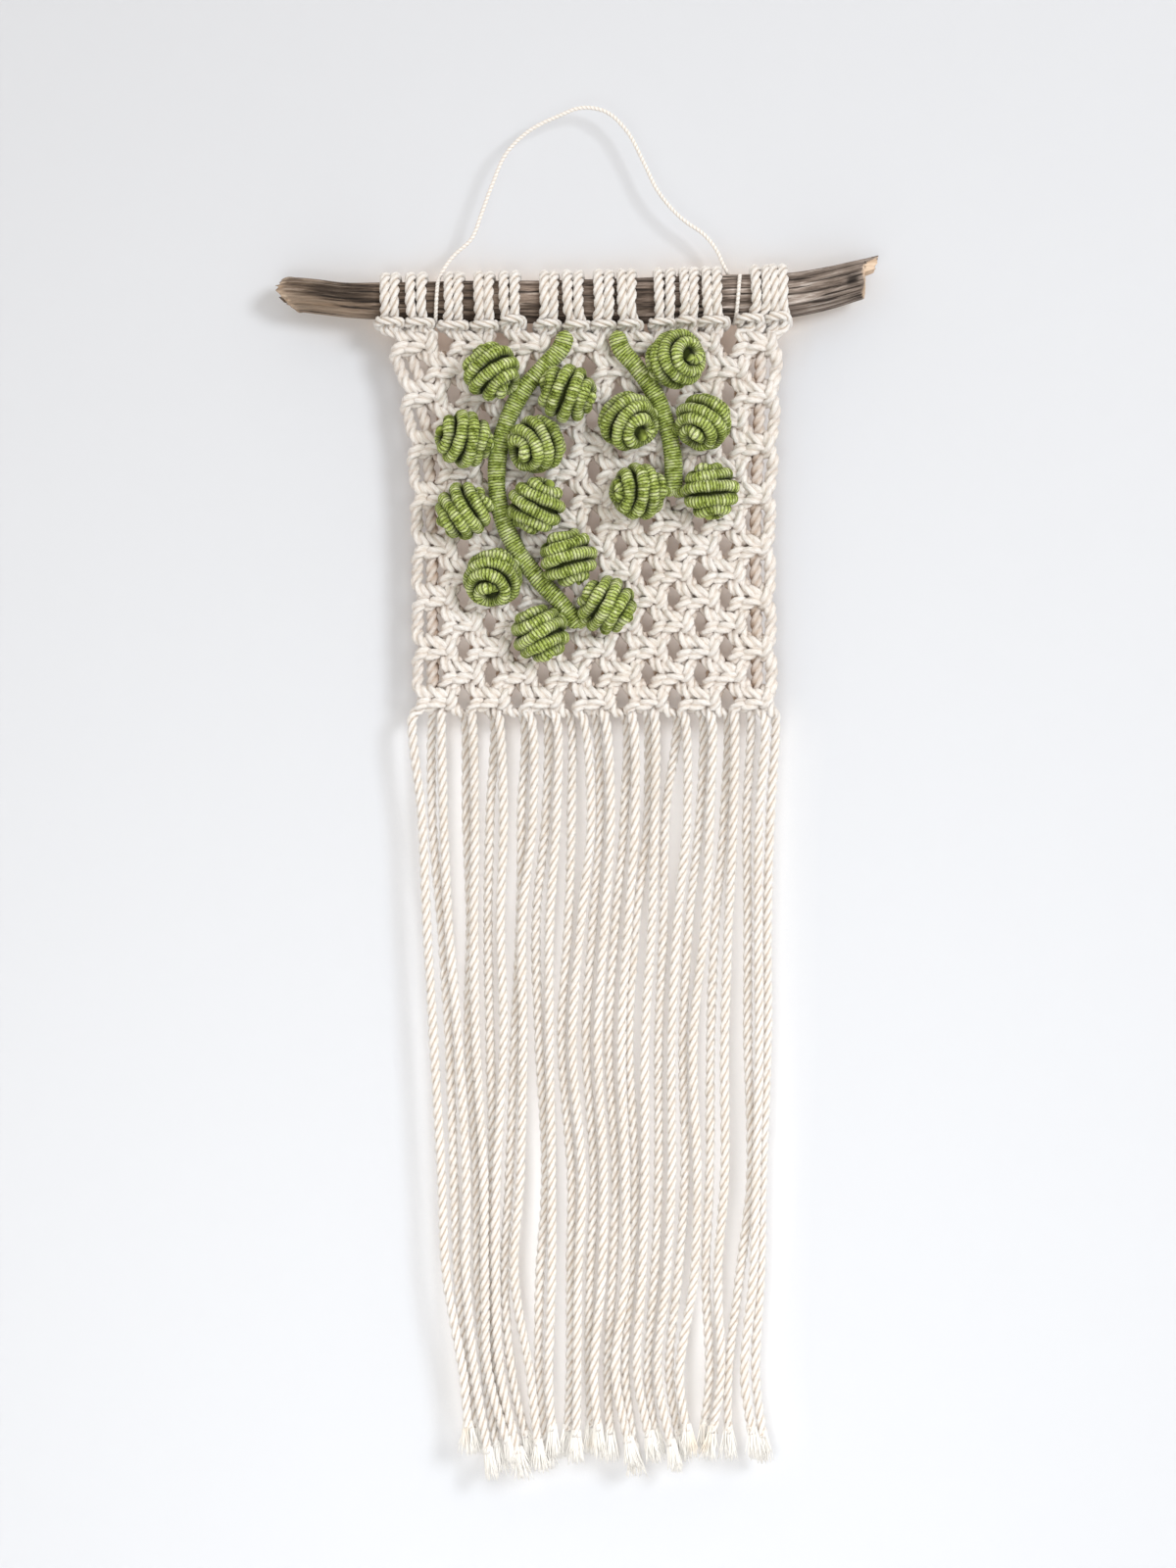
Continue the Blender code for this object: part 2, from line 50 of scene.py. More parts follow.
HALF_PITCHES = 14              # from one edge of the net to the other
HALF_PITCH = 11.14             # half the spacing of knots in a row, at which a knot is drawn
EDGE_INSET = 2.9               # how far inside the net's edge its outermost cord runs
LAY = 14.2                     # length of cord in which its three plies turn once
SEED = 7

ROD_SECTIONS = np.array([
    # x, z, radius
    (-122.4, -75.4, 6.2), (-121.2, -75.4, 6.9), (-117.0, -75.5, 7.0), (-108.0, -76.2, 7.0),
    (-96.8, -77.6, 7.0), (-82.8, -78.2, 7.5), (-60.8, -78.4, 8.1), (-36.8, -78.4, 8.5),
    (-12.8, -78.4, 8.8), (3.2, -78.4, 9.1), (27.2, -78.0, 9.2), (51.2, -77.2, 9.1),
    (67.2, -76.6, 9.0), (86.4, -75.6, 8.9), (103.6, -72.2, 8.6), (112.0, -69.9, 8.3),
    (115.8, -68.9, 8.1),
])
LEFT_CUT = (-2.6, 4.4)         # the slanting left end: x changes by a s + b s s, s = sine round it
LEFT_CUT_REACH = 14.0
FRONT = math.pi                # the angle round the rod at which it faces the front
FRONT_CRACKS = [
    # middle and half length in mm, angle round the rod
    (-96.0, 13.0, FRONT - 0.03), (-90.0, 9.0, FRONT + 0.5), (104.0, 11.0, FRONT - 0.35),
]
BREAK_LENGTH = 5.2             # how far the top of the right end sticks out past its break
HEADS = [
    # middle of the two strands on the rod, middle and half width of the fold's bar, bar height
    (-77.8, -77.4, 5.9, -88.2), (-66.2, -65.3, 5.7, -88.2), (-51.8, -51.7, 6.4, -89.2),
    (-39.0, -38.8, 5.7, -89.0), (-28.4, -27.4, 4.8, -86.6), (-13.4, -13.2, 5.0, -88.2),
    (-1.8, -1.2, 5.3, -88.4), (8.6, 9.4, 4.8, -88.4), (19.6, 20.2, 4.8, -88.2),
    (34.2, 33.4, 5.3, -88.0), (43.8, 43.3, 3.9, -87.6), (54.4, 54.2, 6.5, -88.0),
    (72.6, 68.9, 5.8, -87.8), (81.4, 80.2, 4.9, -87.6),
]
NET_EDGES = np.array([
    # row, left_x, right_x
    (0, -78.4, 83.2), (2, -74.0, 82.4), (4, -71.0, 81.6), (7, -69.2, 80.0), (14, -68.8, 81.0),
])
FRINGE_HEIGHTS = (-247.6, -288.4, -331.2, -379.2, -435.2, -475.2, -515.2)
FRINGE = [
    # root, high, upper, middle, lower, low, hem, tip_x, tip_z
    (-68, -64.4, -62.4, -59.6, -56.4, -54.4, -47.6, -45.6, -545.2),
    (-60.4, -60.4, -56.8, -53.6, -51.6, -50, -46, -42.4, -546),
    (-56.4, -55.6, -53.6, -49.6, -46.4, -46.4, -42.8, -37.6, -555.6),
    (-47.6, -46.4, -44.8, -45.6, -42.4, -42, -38.8, -34, -554.4),
    (-44, -42.8, -43.2, -42.4, -39.2, -38.8, -37.2, -29.6, -551.2),
    (-35.6, -36.8, -37.6, -36.8, -35.6, -36.8, -34.4, -28, -548.8),
    (-33.2, -31.2, -32.4, -31.2, -34, -34.4, -32.4, -25.2, -555.6),
    (-23.6, -24, -24.4, -26.8, -28.8, -30.8, -28, -22, -550.4),
    (-20.4, -19.2, -23.6, -23.2, -24.4, -26.8, -20.4, -17.2, -552.4),
    (-14, -14, -18, -16.8, -14, -16.4, -16.8, -14.4, -552.4),
    (-10, -9.6, -12.4, -12.4, -11.6, -11.6, -12.8, -11.6, -546.4),
    (-4.4, -3.6, -4.8, -7.6, -3.6, -4, -4, -5.2, -548),
    (0.8, 4.4, 0.4, -3.2, 0.8, -0.8, -1.2, -1.6, -548.8),
    (6, 8, 5.2, 2.4, 5.6, 4, 3.6, 4.4, -546.4),
    (10, 12.4, 10, 7.2, 9.6, 8.8, 5.6, 7.2, -546.4),
    (18, 18, 14.4, 11.6, 14.4, 13.2, 11.2, 12, -549.2),
    (21.2, 22.4, 19.6, 16.8, 18.4, 18.4, 14.4, 19.6, -551.2),
    (27.2, 27.6, 22.8, 20, 22.4, 20.8, 18.4, 22, -555.6),
    (30.4, 30.4, 29.2, 26.4, 26.4, 25.2, 23.2, 28, -548.8),
    (39.2, 34.8, 34, 32, 32, 30.4, 27.6, 30.4, -548.8),
    (42.4, 43.6, 39.6, 37.2, 37.2, 35.2, 31.6, 36.8, -552.4),
    (49.6, 48.8, 44.4, 42, 42.8, 40, 36.4, 40, -549.6),
    (53.2, 52.8, 50.8, 46, 47.6, 46.4, 40.4, 43.2, -546.4),
    (59.6, 58.8, 55.2, 53.2, 52.8, 51.2, 52.8, 50.8, -546),
    (62.8, 62.4, 60.4, 58.8, 58.8, 56, 57.2, 54, -547.2),
    (69.6, 68, 68.4, 68.4, 69.6, 65.2, 60.4, 60.4, -548.8),
    (74.8, 72.8, 72.4, 72.8, 71.6, 70.4, 66.8, 70, -547.6),
    (79.6, 77.6, 76.4, 76.4, 74.4, 73.6, 71.6, 74.4, -550.4),
]
FRINGE_LAYER = 2.3             # its cords lie this far before and behind NET_Y by turns
TIP_LENGTH = 8.0               # the last of each cord, which only its frayed fibres reach
CORD_GROUPS = ((0, 4), (4, 7), (7, 11), (11, 14))    # the heads of each piece of cords

# A square knot in cord diameters about its middle: x right, y away from the front, z up.
KNOT = {
    "bar": [(1.95, -0.6, 1.3), (1.85, -0.45, 0.75), (1.58, -0.15, 0.35), (1.15, -0.5, 0.22),
            (0.65, -0.95, 0.32), (0, -1.08, 0.5), (-0.6, -0.9, 0.74), (-1.1, -0.25, 0.88),
            (-1.45, 0.25, 0.45), (-1.45, 0.25, -0.45), (-1.1, -0.25, -0.88), (-0.6, -0.9, -0.74),
            (0, -1.08, -0.5), (0.65, -0.95, -0.32), (1.15, -0.5, -0.22), (1.58, -0.15, -0.35),
            (1.85, -0.45, -0.75), (1.95, -0.6, -1.3)],
    "bump": [(-2.05, -0.5, 1.25), (-1.78, -0.8, 0.8), (-1.35, -0.9, 0.42), (-0.9, -0.1, 0.32),
             (-0.55, 0.8, 0.3), (0, 1.05, 0.45), (0.65, 0.95, 0.65), (1.1, 0.45, 0.85),
             (1.32, -0.35, 0.82), (1.52, -1.05, 0.45), (1.56, -1.22, 0), (1.46, -1.05, -0.45),
             (1.24, -0.35, -0.82), (1.0, 0.45, -0.85), (0.6, 0.95, -0.65), (0, 1.05, -0.45),
             (-0.55, 0.8, -0.3), (-0.9, -0.1, -0.32), (-1.35, -0.9, -0.42), (-1.78, -0.8, -0.8),
             (-2.05, -0.5, -1.25)],
    "left_core": [(-0.5, 0.0, 1.08), (-0.52, 0.1, 0), (-0.5, 0.0, -1.08)],
    "right_core": [(0.5, 0.0, 1.08), (0.52, 0.1, 0), (0.5, 0.0, -1.08)],
}
EVEN_ROLES = ("bump", "left_core", "right_core", "bar")
ODD_ROLES = ("right_core", "bar", "bump", "left_core")

# The hitch of one strand: degrees round the rod from its back over its top, distance of the
# cord's middle from the rod's surface, x from the bar's middle as a share of its half width,
# x from the strands' middle in mm, and how much of the second x counts.
HITCH_BAR_Z = -88.2            # the bar height that this is drawn for
HITCH = [
    (221, 6.1, 0.0, 0.0, 0.0), (221.2, 6.1, 0.25, 0.0, 0.0), (222.5, 5.7, 0.52, 0.0, 0.0),
    (231, 4.1, 0.72, 0.0, 0.0), (258, 2.4, 0.72, 4.4, 0.3),
    (300, 2.2, 0.7, 4.0, 0.7),
    (360, 2.1, 0.0, 3.3, 1.0), (410, 2.1, 0.0, 2.6, 1.0), (450, 2.1, 0.0, 2.3, 1.0),
    (495, 2.1, 0.0, 2.05, 1.0), (535, 2.15, 0.0, 1.95, 1.0), (562, 2.2, 0.0, 1.85, 1.0),
]

STRING_LOOP = [
    (-55.2, -0.6, -64.4), (-51.6, 0.0, -59.6), (-44.4, 0.0, -52.8), (-40.4, 0.0, -42.8),
    (-36.0, 0.0, -30.8), (-30.0, 0.0, -17.6), (-21.6, 0.0, -9.2), (-8.4, 0.0, -2.4),
    (0.4, 0.0, 0.8), (10.4, 0.0, -0.8), (18.8, 0.0, -8.4), (25.6, 0.0, -20.8),
    (32.0, 0.0, -33.6), (42.4, 0.0, -45.2), (50.8, 0.0, -51.2), (55.6, 0.2, -57.2),
    (58.8, 0.8, -64.0),
]
LEFT_WRAP = (-60.6, -57.5, 60.0, -262.0)
RIGHT_WRAP = (60.2, 65.0, 82.0, -235.0)
STRING_RADIUS = 0.8
STRING_LAY = 3.4

STEM_ROUTES = {
    "left": [(-5.4, -91.7), (-7.4, -98), (-14.5, -106), (-22.5, -115), (-29.5, -128),
             (-33.5, -144), (-33, -161), (-27, -178), (-17, -192), (-6, -204), (-0.6, -211.7)],
    "right": [(14.6, -91.7), (16.2, -98), (22.5, -106), (29.5, -116), (34.5, -128),
              (37.5, -142), (38, -157.4)],
}
BERRIES = {
    # 1 left of the stem or -1 right of it, number, first place and spacing beside the stem
    "left": [(1, 5, 27.0, 29.5), (-1, 5, 26.0, 24.8)],
    "right": [(-1, 3, 18.5, 28.0), (1, 2, 39.5, 28.5)],
}
SPRIG_BACK_Y = NET_Y - 5.2 - 0.35    # the sprigs begin here, just clear of the knots
STEM_RADIUS = 3.7
STEM_Y = SPRIG_BACK_Y - STEM_RADIUS
BERRY_HALF_DEPTH = 10.2
BERRY_Y = SPRIG_BACK_Y - BERRY_HALF_DEPTH + 0.65
BERRY_OFFSET = 14.45
BERRY_RADIUS = 12.0
WINDING = 2.55                 # radius of the wrapped cord that a berry is coiled from
BERRY_TURNS = 5.1
BERRY_SIDES = 12
YARN = 1.2                     # width of one turn of the yarn that wraps the green cord
GOLDEN_ANGLE = 2.4


def curve_through(at, knots, values):
    """Cubic Hermite curve through the values at the knots, with slopes from their neighbours."""
    knots = np.asarray(knots, float)
    values = np.asarray(values, float)
    slopes = np.gradient(values, knots, axis=0)
    k = np.clip(np.searchsorted(knots, at) - 1, 0, len(knots) - 2)
    span = knots[k + 1] - knots[k]
    t = (at - knots[k]) / span
    if values.ndim > 1:
        span, t = span[..., None], t[..., None]
    start = (1 + 2 * t) * (1 - t) ** 2 * values[k] + t * (1 - t) ** 2 * span * slopes[k]
    end = t * t * (3 - 2 * t) * values[k + 1] + t * t * (t - 1) * span * slopes[k + 1]
    return start + end


def even_route(route, count, power=1.0):
    """The route as count evenly spaced points of a smooth curve through its corners.

    The curve's parameter grows with the chord's length to the given power: 1 suits corners that
    lie evenly, and one half keeps tight knots from overshooting.
    """
    route = np.asarray(route, float)
    chord = np.linalg.norm(np.diff(route, axis=0), axis=1) ** power
    knots = np.append(0, np.cumsum(chord))
    fine = curve_through(np.linspace(0, knots[-1], 40 * len(route)), knots, route)
    run = np.append(0, np.cumsum(np.linalg.norm(np.diff(fine, axis=0), axis=1)))
    even = np.linspace(0, run[-1], count)
    return np.stack([np.interp(even, run, axis) for axis in fine.T], axis=1), run[-1]


def rod_shape(x):
    """Height of the rod's middle line and its radius at x."""
    return curve_through(np.asarray(x, float), ROD_SECTIONS[:, 0], ROD_SECTIONS[:, 1:]).T


def share(value, start, span):
    """How much of the span past its start a value has gone, from 0 to 1; a span can run down."""
    return np.clip((value - start) / span, 0, 1)


def unit(vectors):
    return vectors / np.linalg.norm(vectors, axis=-1, keepdims=True)


def frames_along(lines):
    """Two unit normals for each point of several lines at once, carried along without twist.

    Each step takes the normal before it and removes what lies along the new direction.
    """
    tangents = unit(np.gradient(lines, axis=1))
    start = np.where(np.abs(tangents[:, 0, 1:2]) < 0.8, [[0.0, 1.0, 0.0]], [[1.0, 0.0, 0.0]])
    normals = np.empty_like(lines)
    current = unit(start - (start * tangents[:, 0]).sum(-1, keepdims=True) * tangents[:, 0])
    for step in range(lines.shape[1]):
        along = tangents[:, step]
        current = unit(current - (current * along).sum(-1, keepdims=True) * along)
        normals[:, step] = current
    return normals, np.cross(tangents, normals)


def carried_profile(lines, angles, radii):
    """Points of a profile carried along lines: middle + radius (cos a normal + sin a binormal).

    angles and radii hold a value for each line, step along it and place round it.
    """
    normals, binormals = frames_along(lines)
    outward = np.cos(angles)[..., None] * normals[:, :, None]
    outward = outward + np.sin(angles)[..., None] * binormals[:, :, None]
    return lines[:, :, None] + radii[..., None] * outward


def grid_faces(lines, rings, around):
    """Quads of closed tubes, ring by ring, and their corners' places round and along (u, v)."""
    ring, place = np.meshgrid(np.arange(rings - 1), np.arange(around), indexing="ij")
    after = (place + 1) % around
    quad = np.stack([ring * around + place, ring * around + after,
                     (ring + 1) * around + after, (ring + 1) * around + place], -1)
    corner_u = np.stack([place, place + 1, place + 1, place], -1) / around
    corner_ring = np.stack([ring, ring, ring + 1, ring + 1], -1)
    first = (np.arange(lines) * rings * around)[:, None, None]
    quads = (quad.reshape(1, -1, 4) + first).reshape(-1, 4)
    corner_u, corner_ring = (np.tile(corner.reshape(-1, 4), (lines, 1))
                             for corner in (corner_u, corner_ring))
    return quads, corner_u, corner_ring


def cap_faces(lines, rings, around):
    """The end rings of closed tubes as one face each, the first turned the other way."""
    place = np.arange(around)
    first = (np.arange(lines) * rings * around)[:, None]
    return np.concatenate([first + place[::-1], first + (rings - 1) * around + place])


def tube_parts(lines, rings, around, step, first=0, turned=False):
    """The sides and the ends of closed tubes, as parts for make_piece.

    step is the length from ring to ring, first the number of the tubes' first point. Rings that
    run the other way round are turned, so that the faces still look outward.
    """
    quads, u, ring = grid_faces(lines, rings, around)
    caps = cap_faces(lines, rings, around)
    if turned:
        quads, u, ring, caps = (corners[:, ::-1] for corners in (quads, u, ring, caps))
    return [(quads + first, u, ring * step), (caps + first, 0.5, 0.0)]


def make_piece(name, points, parts, finish, replaced=(), values=None):
    """A mesh object from millimetre points and parts, each (faces, u, v) with equal corners.

    u and v go to the UV map; values is a number for each point, kept as the attribute 'tone'.
    """
    points = np.asarray(points, float).reshape(-1, 3) * MM
    mesh = bpy.data.meshes.new(name)
    mesh.vertices.add(len(points))
    mesh.vertices.foreach_set("co", points.ravel())
    corners = np.concatenate([faces.ravel() for faces, _, _ in parts])
    sizes = np.concatenate([np.full(len(faces), faces.shape[1]) for faces, _, _ in parts])
    mesh.loops.add(len(corners))
    mesh.loops.foreach_set("vertex_index", corners.astype(np.int32))
    mesh.polygons.add(len(sizes))
    starts = np.append(0, np.cumsum(sizes)[:-1])
    mesh.polygons.foreach_set("loop_start", starts.astype(np.int32))
    mesh.polygons.foreach_set("loop_total", sizes.astype(np.int32))
    mesh.polygons.foreach_set("use_smooth", np.ones(len(sizes), bool))
    u = np.concatenate([np.broadcast_to(a, faces.shape).ravel() for faces, a, _ in parts])
    v = np.concatenate([np.broadcast_to(a, faces.shape).ravel() for faces, _, a in parts])
    layer = mesh.uv_layers.new(name="surface")
    layer.data.foreach_set("uv", np.stack([u, v], -1).ravel().astype(np.float32))
    if values is not None:
        tone = mesh.attributes.new("tone", "FLOAT", "POINT")
        tone.data.foreach_set("value", np.asarray(values, np.float32).ravel())
    mesh.update(calc_edges=True)
    mesh.validate()
    mesh.materials.append(finish)
    piece = bpy.data.objects.new(name, mesh)
    bpy.context.scene.collection.objects.link(piece)
    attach(piece, "root")
    if replaced:
        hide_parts(*replaced)
    return piece


def tubes(name, lines, lengths, angles, radii, finish, replaced=(), values=None):
    """Closed tubes along lines, u once round each and v the millimetres along it.

    values may be a function of the points.
    """
    count, rings = lines.shape[:2]
    around = radii.shape[2]
    points = carried_profile(lines, angles, radii)
    if callable(values):
        values = values(points)
    step = np.repeat(np.asarray(lengths, float) / (rings - 1), (rings - 1) * around)[:, None]
    parts = tube_parts(count, rings, around, step)
    return make_piece(name, points, parts, finish, replaced, values)


# Materials ------------------------------------------------------------------------------------

def feed(socket, value):
    """Join a socket to another node's output, or give it a number or a colour of its own."""
    if isinstance(value, bpy.types.NodeSocket):
        socket.id_data.links.new(value, socket)
    elif socket.type == "RGBA":
        socket.default_value = (*value, 1.0)
    else:
        socket.default_value = value


def new_finish(name, roughness, sheen=0.0, gloss=0.25):
    """An empty finish, its shader, and a short way to add a node with its settings and inputs."""
    made = bpy.data.materials.new(name)
    made.use_nodes = True
    shader = made.node_tree.nodes["Principled BSDF"]
    shader.inputs["Roughness"].default_value = roughness
    shader.inputs["Sheen Weight"].default_value = sheen
    shader.inputs["Sheen Roughness"].default_value = 0.5
    shader.inputs["Specular IOR Level"].default_value = gloss

    def add(kind, **settings):
        node = made.node_tree.nodes.new(kind)
        for key, value in settings.items():
            if key in node.inputs:
                feed(node.inputs[key], value)
            else:
                setattr(node, key, value)
        return node

    return made, shader, add


def ramp(add, source, stops):
    """Colours between stops of (place, red, green, blue)."""
    node = add("ShaderNodeValToRGB", Fac=source)
    elements = node.color_ramp.elements
    while len(elements) < len(stops):
        elements.new(0.5)
    for element, (place, *colour) in zip(elements, stops):
        element.position = place
        element.color = (*colour, 1.0)
    return node.outputs["Color"]


def mix(add, amount, low, high, blend="MIX"):
    """The colour that lies the given amount, from 0 to 1, on the way from low to high."""
    node = add("ShaderNodeMix", data_type="RGBA", blend_type=blend)
    for name, kind, value in (("Factor", "VALUE", amount), ("A", "RGBA", low), ("B", "RGBA", high)):
        feed(next(s for s in node.inputs if (s.name, s.type) == (name, kind)), value)
    return next(s for s in node.outputs if s.type == "RGBA")


def maths(add, operation, first, second=None):
    node = add("ShaderNodeMath", operation=operation)
    feed(node.inputs[0], first)
    if second is not None:
        feed(node.inputs[1], second)
    return node.outputs[0]


def clamp(add, value):
    return add("ShaderNodeClamp", Value=value).outputs[0]


def noise(add, place, scale, detail, stretch=None, turn=0.0, roughness=0.5):
    """Noise at a place that may be stretched along each axis and turned about the third."""
    if stretch:
        place = add("ShaderNodeMapping", Vector=place, Scale=stretch,
                    Rotation=(0.0, 0.0, turn)).outputs["Vector"]
    return add("ShaderNodeTexNoise", Vector=place, Scale=scale, Detail=detail,
               Roughness=roughness).outputs["Fac"]


def object_place(add):
    return add("ShaderNodeTexCoord").outputs["Object"]


def surface_place(add):
    """The UV map, and its two parts: turns round a tube and millimetres along it."""
    surface = add("ShaderNodeUVMap", uv_map="surface").outputs["UV"]
    parts = add("ShaderNodeSeparateXYZ", Vector=surface)
    return surface, parts.outputs["X"], parts.outputs["Y"]


def own_tone(add):
    return add("ShaderNodeAttribute", attribute_name="tone").outputs["Fac"]


def groove(add, around, plies):
    """0 on the crest of each of a cord's plies, 1 in the groove between two."""
    ply = maths(add, "FRACT", maths(add, "MULTIPLY", around, plies))
    return maths(add, "MULTIPLY", maths(add, "ABSOLUTE", maths(add, "SUBTRACT", ply, 0.5)), 2.0)


def bump(add, shader, height, distance, strength):
    """Relief for the light alone, its distance in millimetres."""
    node = add("ShaderNodeBump", Height=height, Distance=distance * MM, Strength=strength)
    feed(shader.inputs["Normal"], node.outputs["Normal"])


def cotton_finish():
    """Cream cotton: cloudy tones, fibres along each ply, and painted shade, brown, in the grooves
    between plies.

    The piece's tone is 1 deep inside the net, where shade is painted brown into the net's hollows,
    and 0 outside the net, where the painted shade in the grooves between plies is darkest.
    """
    made, shader, add = new_finish("cream_cotton", 0.92, sheen=0.15)
    shade_between_plies, shade_inside_net = (0.44, 0.31, 0.19), (0.37, 0.215, 0.11)
    base = ramp(add, noise(add, object_place(add), 60.0, 3.0), [
        (0.3, 0.92, 0.895, 0.86), (0.5, 0.96, 0.945, 0.925), (0.7, 0.975, 0.97, 0.96)])
    surface, around, _ = surface_place(add)
    deep = maths(add, "POWER", groove(add, around, 3.0), 3.6)
    fibres = noise(add, surface, 1.6, 3.0, stretch=(30.0, 0.4, 1.0), turn=0.02)
    thin = ramp(add, fibres, [(0.36, 0.84, 0.79, 0.74), (0.54, 1.0, 1.0, 1.0)])
    tone = own_tone(add)
    knotted = clamp(add, maths(add, "MULTIPLY", tone, 12.0))
    # how much painted shade the grooves between plies get: less inside the net
    groove_shade_share = maths(add, "SUBTRACT", 0.8, maths(add, "MULTIPLY", knotted, 0.42))
    # painted shade: brown in the grooves between plies
    colour = mix(add, maths(add, "MULTIPLY", deep, groove_shade_share), base, shade_between_plies)
    # painted shade: brown deep inside the net, by the piece's tone
    colour = mix(add, tone, colour, shade_inside_net)
    feed(shader.inputs["Base Color"], mix(add, 1.0, colour, thin, "MULTIPLY"))
    bump(add, shader, fibres, 0.5, 0.8)
    return made


def frayed_finish():
    """Loose cotton fibres: bright and matt, with a few faint tan stains."""
    made, shader, add = new_finish("frayed_cotton", 0.95, sheen=0.1)
    colour = ramp(add, noise(add, object_place(add), 48.0, 2.0), [
        (0.3, 0.97, 0.955, 0.93), (0.62, 0.96, 0.94, 0.90), (0.78, 0.84, 0.73, 0.59)])
    feed(shader.inputs["Base Color"], colour)
    return made


def yarn_finish():
    """Olive-green yarn: each turn has its own tone, painted shade near black between turns, and
    fine fibres.

    A turn rises by its own width while it goes once round. The piece's tone is -1 deep between
    a berry's windings, where shade is painted near black.
    """
    made, shader, add = new_finish("olive_green_yarn", 0.9, sheen=0.05, gloss=0.1)
    shade_between_turns, shade_between_windings = (0.035, 0.048, 0.008), (0.024, 0.032, 0.005)
    surface, around, along = surface_place(add)
    turn = maths(add, "SUBTRACT", maths(add, "DIVIDE", along, YARN), around)
    number = maths(add, "FLOOR", turn)
    within = maths(add, "SUBTRACT", maths(add, "SUBTRACT", turn, number), 0.5)
    edge = maths(add, "MULTIPLY", maths(add, "ABSOLUTE", within), 2.0)
    tones = add("ShaderNodeTexWhiteNoise", noise_dimensions="1D", W=number).outputs["Value"]
    clouds = noise(add, object_place(add), 320.0, 3.0)
    fibres = noise(add, surface, 1.0, 2.0, stretch=(13.0, 4.2, 1.0), turn=0.5)
    blend = maths(add, "ADD", maths(add, "MULTIPLY", tones, 0.10),
                  maths(add, "MULTIPLY", clouds, 0.40))
    blend = maths(add, "ADD", blend, maths(add, "MULTIPLY", fibres, 0.5))
    base = ramp(add, blend, [
        (0.36, 0.085, 0.115, 0.006), (0.49, 0.54, 0.675, 0.15), (0.625, 0.95, 1.0, 0.62)])
    # painted shade: near black in the gaps between turns of the yarn
    dark = maths(add, "MULTIPLY", maths(add, "POWER", edge, 1.9), 0.92)
    colour = mix(add, dark, base, shade_between_turns)
    # painted shade: near black deep between a berry's windings and on the ball in its middle
    deep = clamp(add, maths(add, "MULTIPLY", own_tone(add), -1.0))
    feed(shader.inputs["Base Color"], mix(add, deep, colour, shade_between_windings))
    bump(add, shader, fibres, 0.9, 1.0)
    return made


def twine_finish():
    """Thin beige string with painted shade, brown, between its two plies."""
    made, shader, add = new_finish("beige_twine", 0.8)
    crest, shade_between_plies = (0.89, 0.87, 0.84), (0.64, 0.57, 0.50)
    _, around, _ = surface_place(add)
    deep = maths(add, "POWER", groove(add, around, 2.0), 3.0)
    # painted shade: brown in the grooves between the two plies
    feed(shader.inputs["Base Color"], mix(add, deep, crest, shade_between_plies))
    return made


def wood_finish():
    """Weathered wood: grey-brown with long streaks, painted shade near black in the cracks, pale at
    the fresh break.

    Streaks and dark lines are read on a straight cylinder, from the place round and along, so
    that the grain follows the rod's bend. The piece's tone is -1 in a crack, where shade is
    painted, below 0 in a patch of painted shade near the left end, 0 on the skin and +1 on fresh
    wood.
    """
    made, shader, add = new_finish("weathered_wood", 0.75)
    dark_line, shade_in_crack = (0.022, 0.016, 0.013), (0.014, 0.010, 0.008)
    cylinder_radius = 0.009
    place = object_place(add)
    _, around, along = surface_place(add)
    turn = maths(add, "MULTIPLY", around, TAU)
    cylinder = add(
        "ShaderNodeCombineXYZ", X=maths(add, "MULTIPLY", along, MM),
        Y=maths(add, "MULTIPLY", maths(add, "COSINE", turn), cylinder_radius),
        Z=maths(add, "MULTIPLY", maths(add, "SINE", turn), cylinder_radius)).outputs["Vector"]
    streaks = noise(add, cylinder, 1.6, 6.0, stretch=(30.0, 330.0, 330.0), roughness=0.7)
    base = ramp(add, streaks, [
        (0.35, 0.10, 0.076, 0.060), (0.45, 0.25, 0.20, 0.165), (0.55, 0.43, 0.36, 0.305),
        (0.66, 0.82, 0.75, 0.69)])
    patches = noise(add, place, 26.0, 3.0)
    dim = ramp(add, patches, [(0.38, 0.62, 0.60, 0.58), (0.58, 1.0, 1.0, 1.0)])
    base = mix(add, 1.0, base, dim, "MULTIPLY")
    x = add("ShaderNodeSeparateXYZ", Vector=place).outputs["X"]
    side = maths(add, "ADD", maths(add, "MULTIPLY", x, 4.0), 0.5)
    age = ramp(add, side, [
        (0.1, 0.66, 0.60, 0.54), (0.55, 0.76, 0.71, 0.69), (0.9, 1.05, 1.06, 1.10)])
    base = mix(add, 1.0, base, age, "MULTIPLY")
    lines = noise(add, cylinder, 1.0, 3.0, stretch=(48.0, 900.0, 900.0))
    off_line = ramp(add, lines, [(0.38, 0.9, 0.9, 0.9), (0.44, 0.0, 0.0, 0.0)])
    base = mix(add, off_line, base, dark_line)
    tone = own_tone(add)
    # painted shade: near black in the cracks and the twig's hole, and darker in a patch near the
    # left end
    base = mix(add, clamp(add, maths(add, "MULTIPLY", tone, -1.0)), base, shade_in_crack)
    torn = noise(add, place, 1.6, 6.0, stretch=(24.0, 300.0, 300.0))
    fresh = ramp(add, torn, [(0.3, 0.56, 0.39, 0.26), (0.7, 0.90, 0.73, 0.57)])
    feed(shader.inputs["Base Color"], mix(add, clamp(add, tone), base, fresh))
    bump(add, shader, maths(add, "ADD", streaks, maths(add, "MULTIPLY", lines, 0.6)), 0.9, 0.8)
    return made


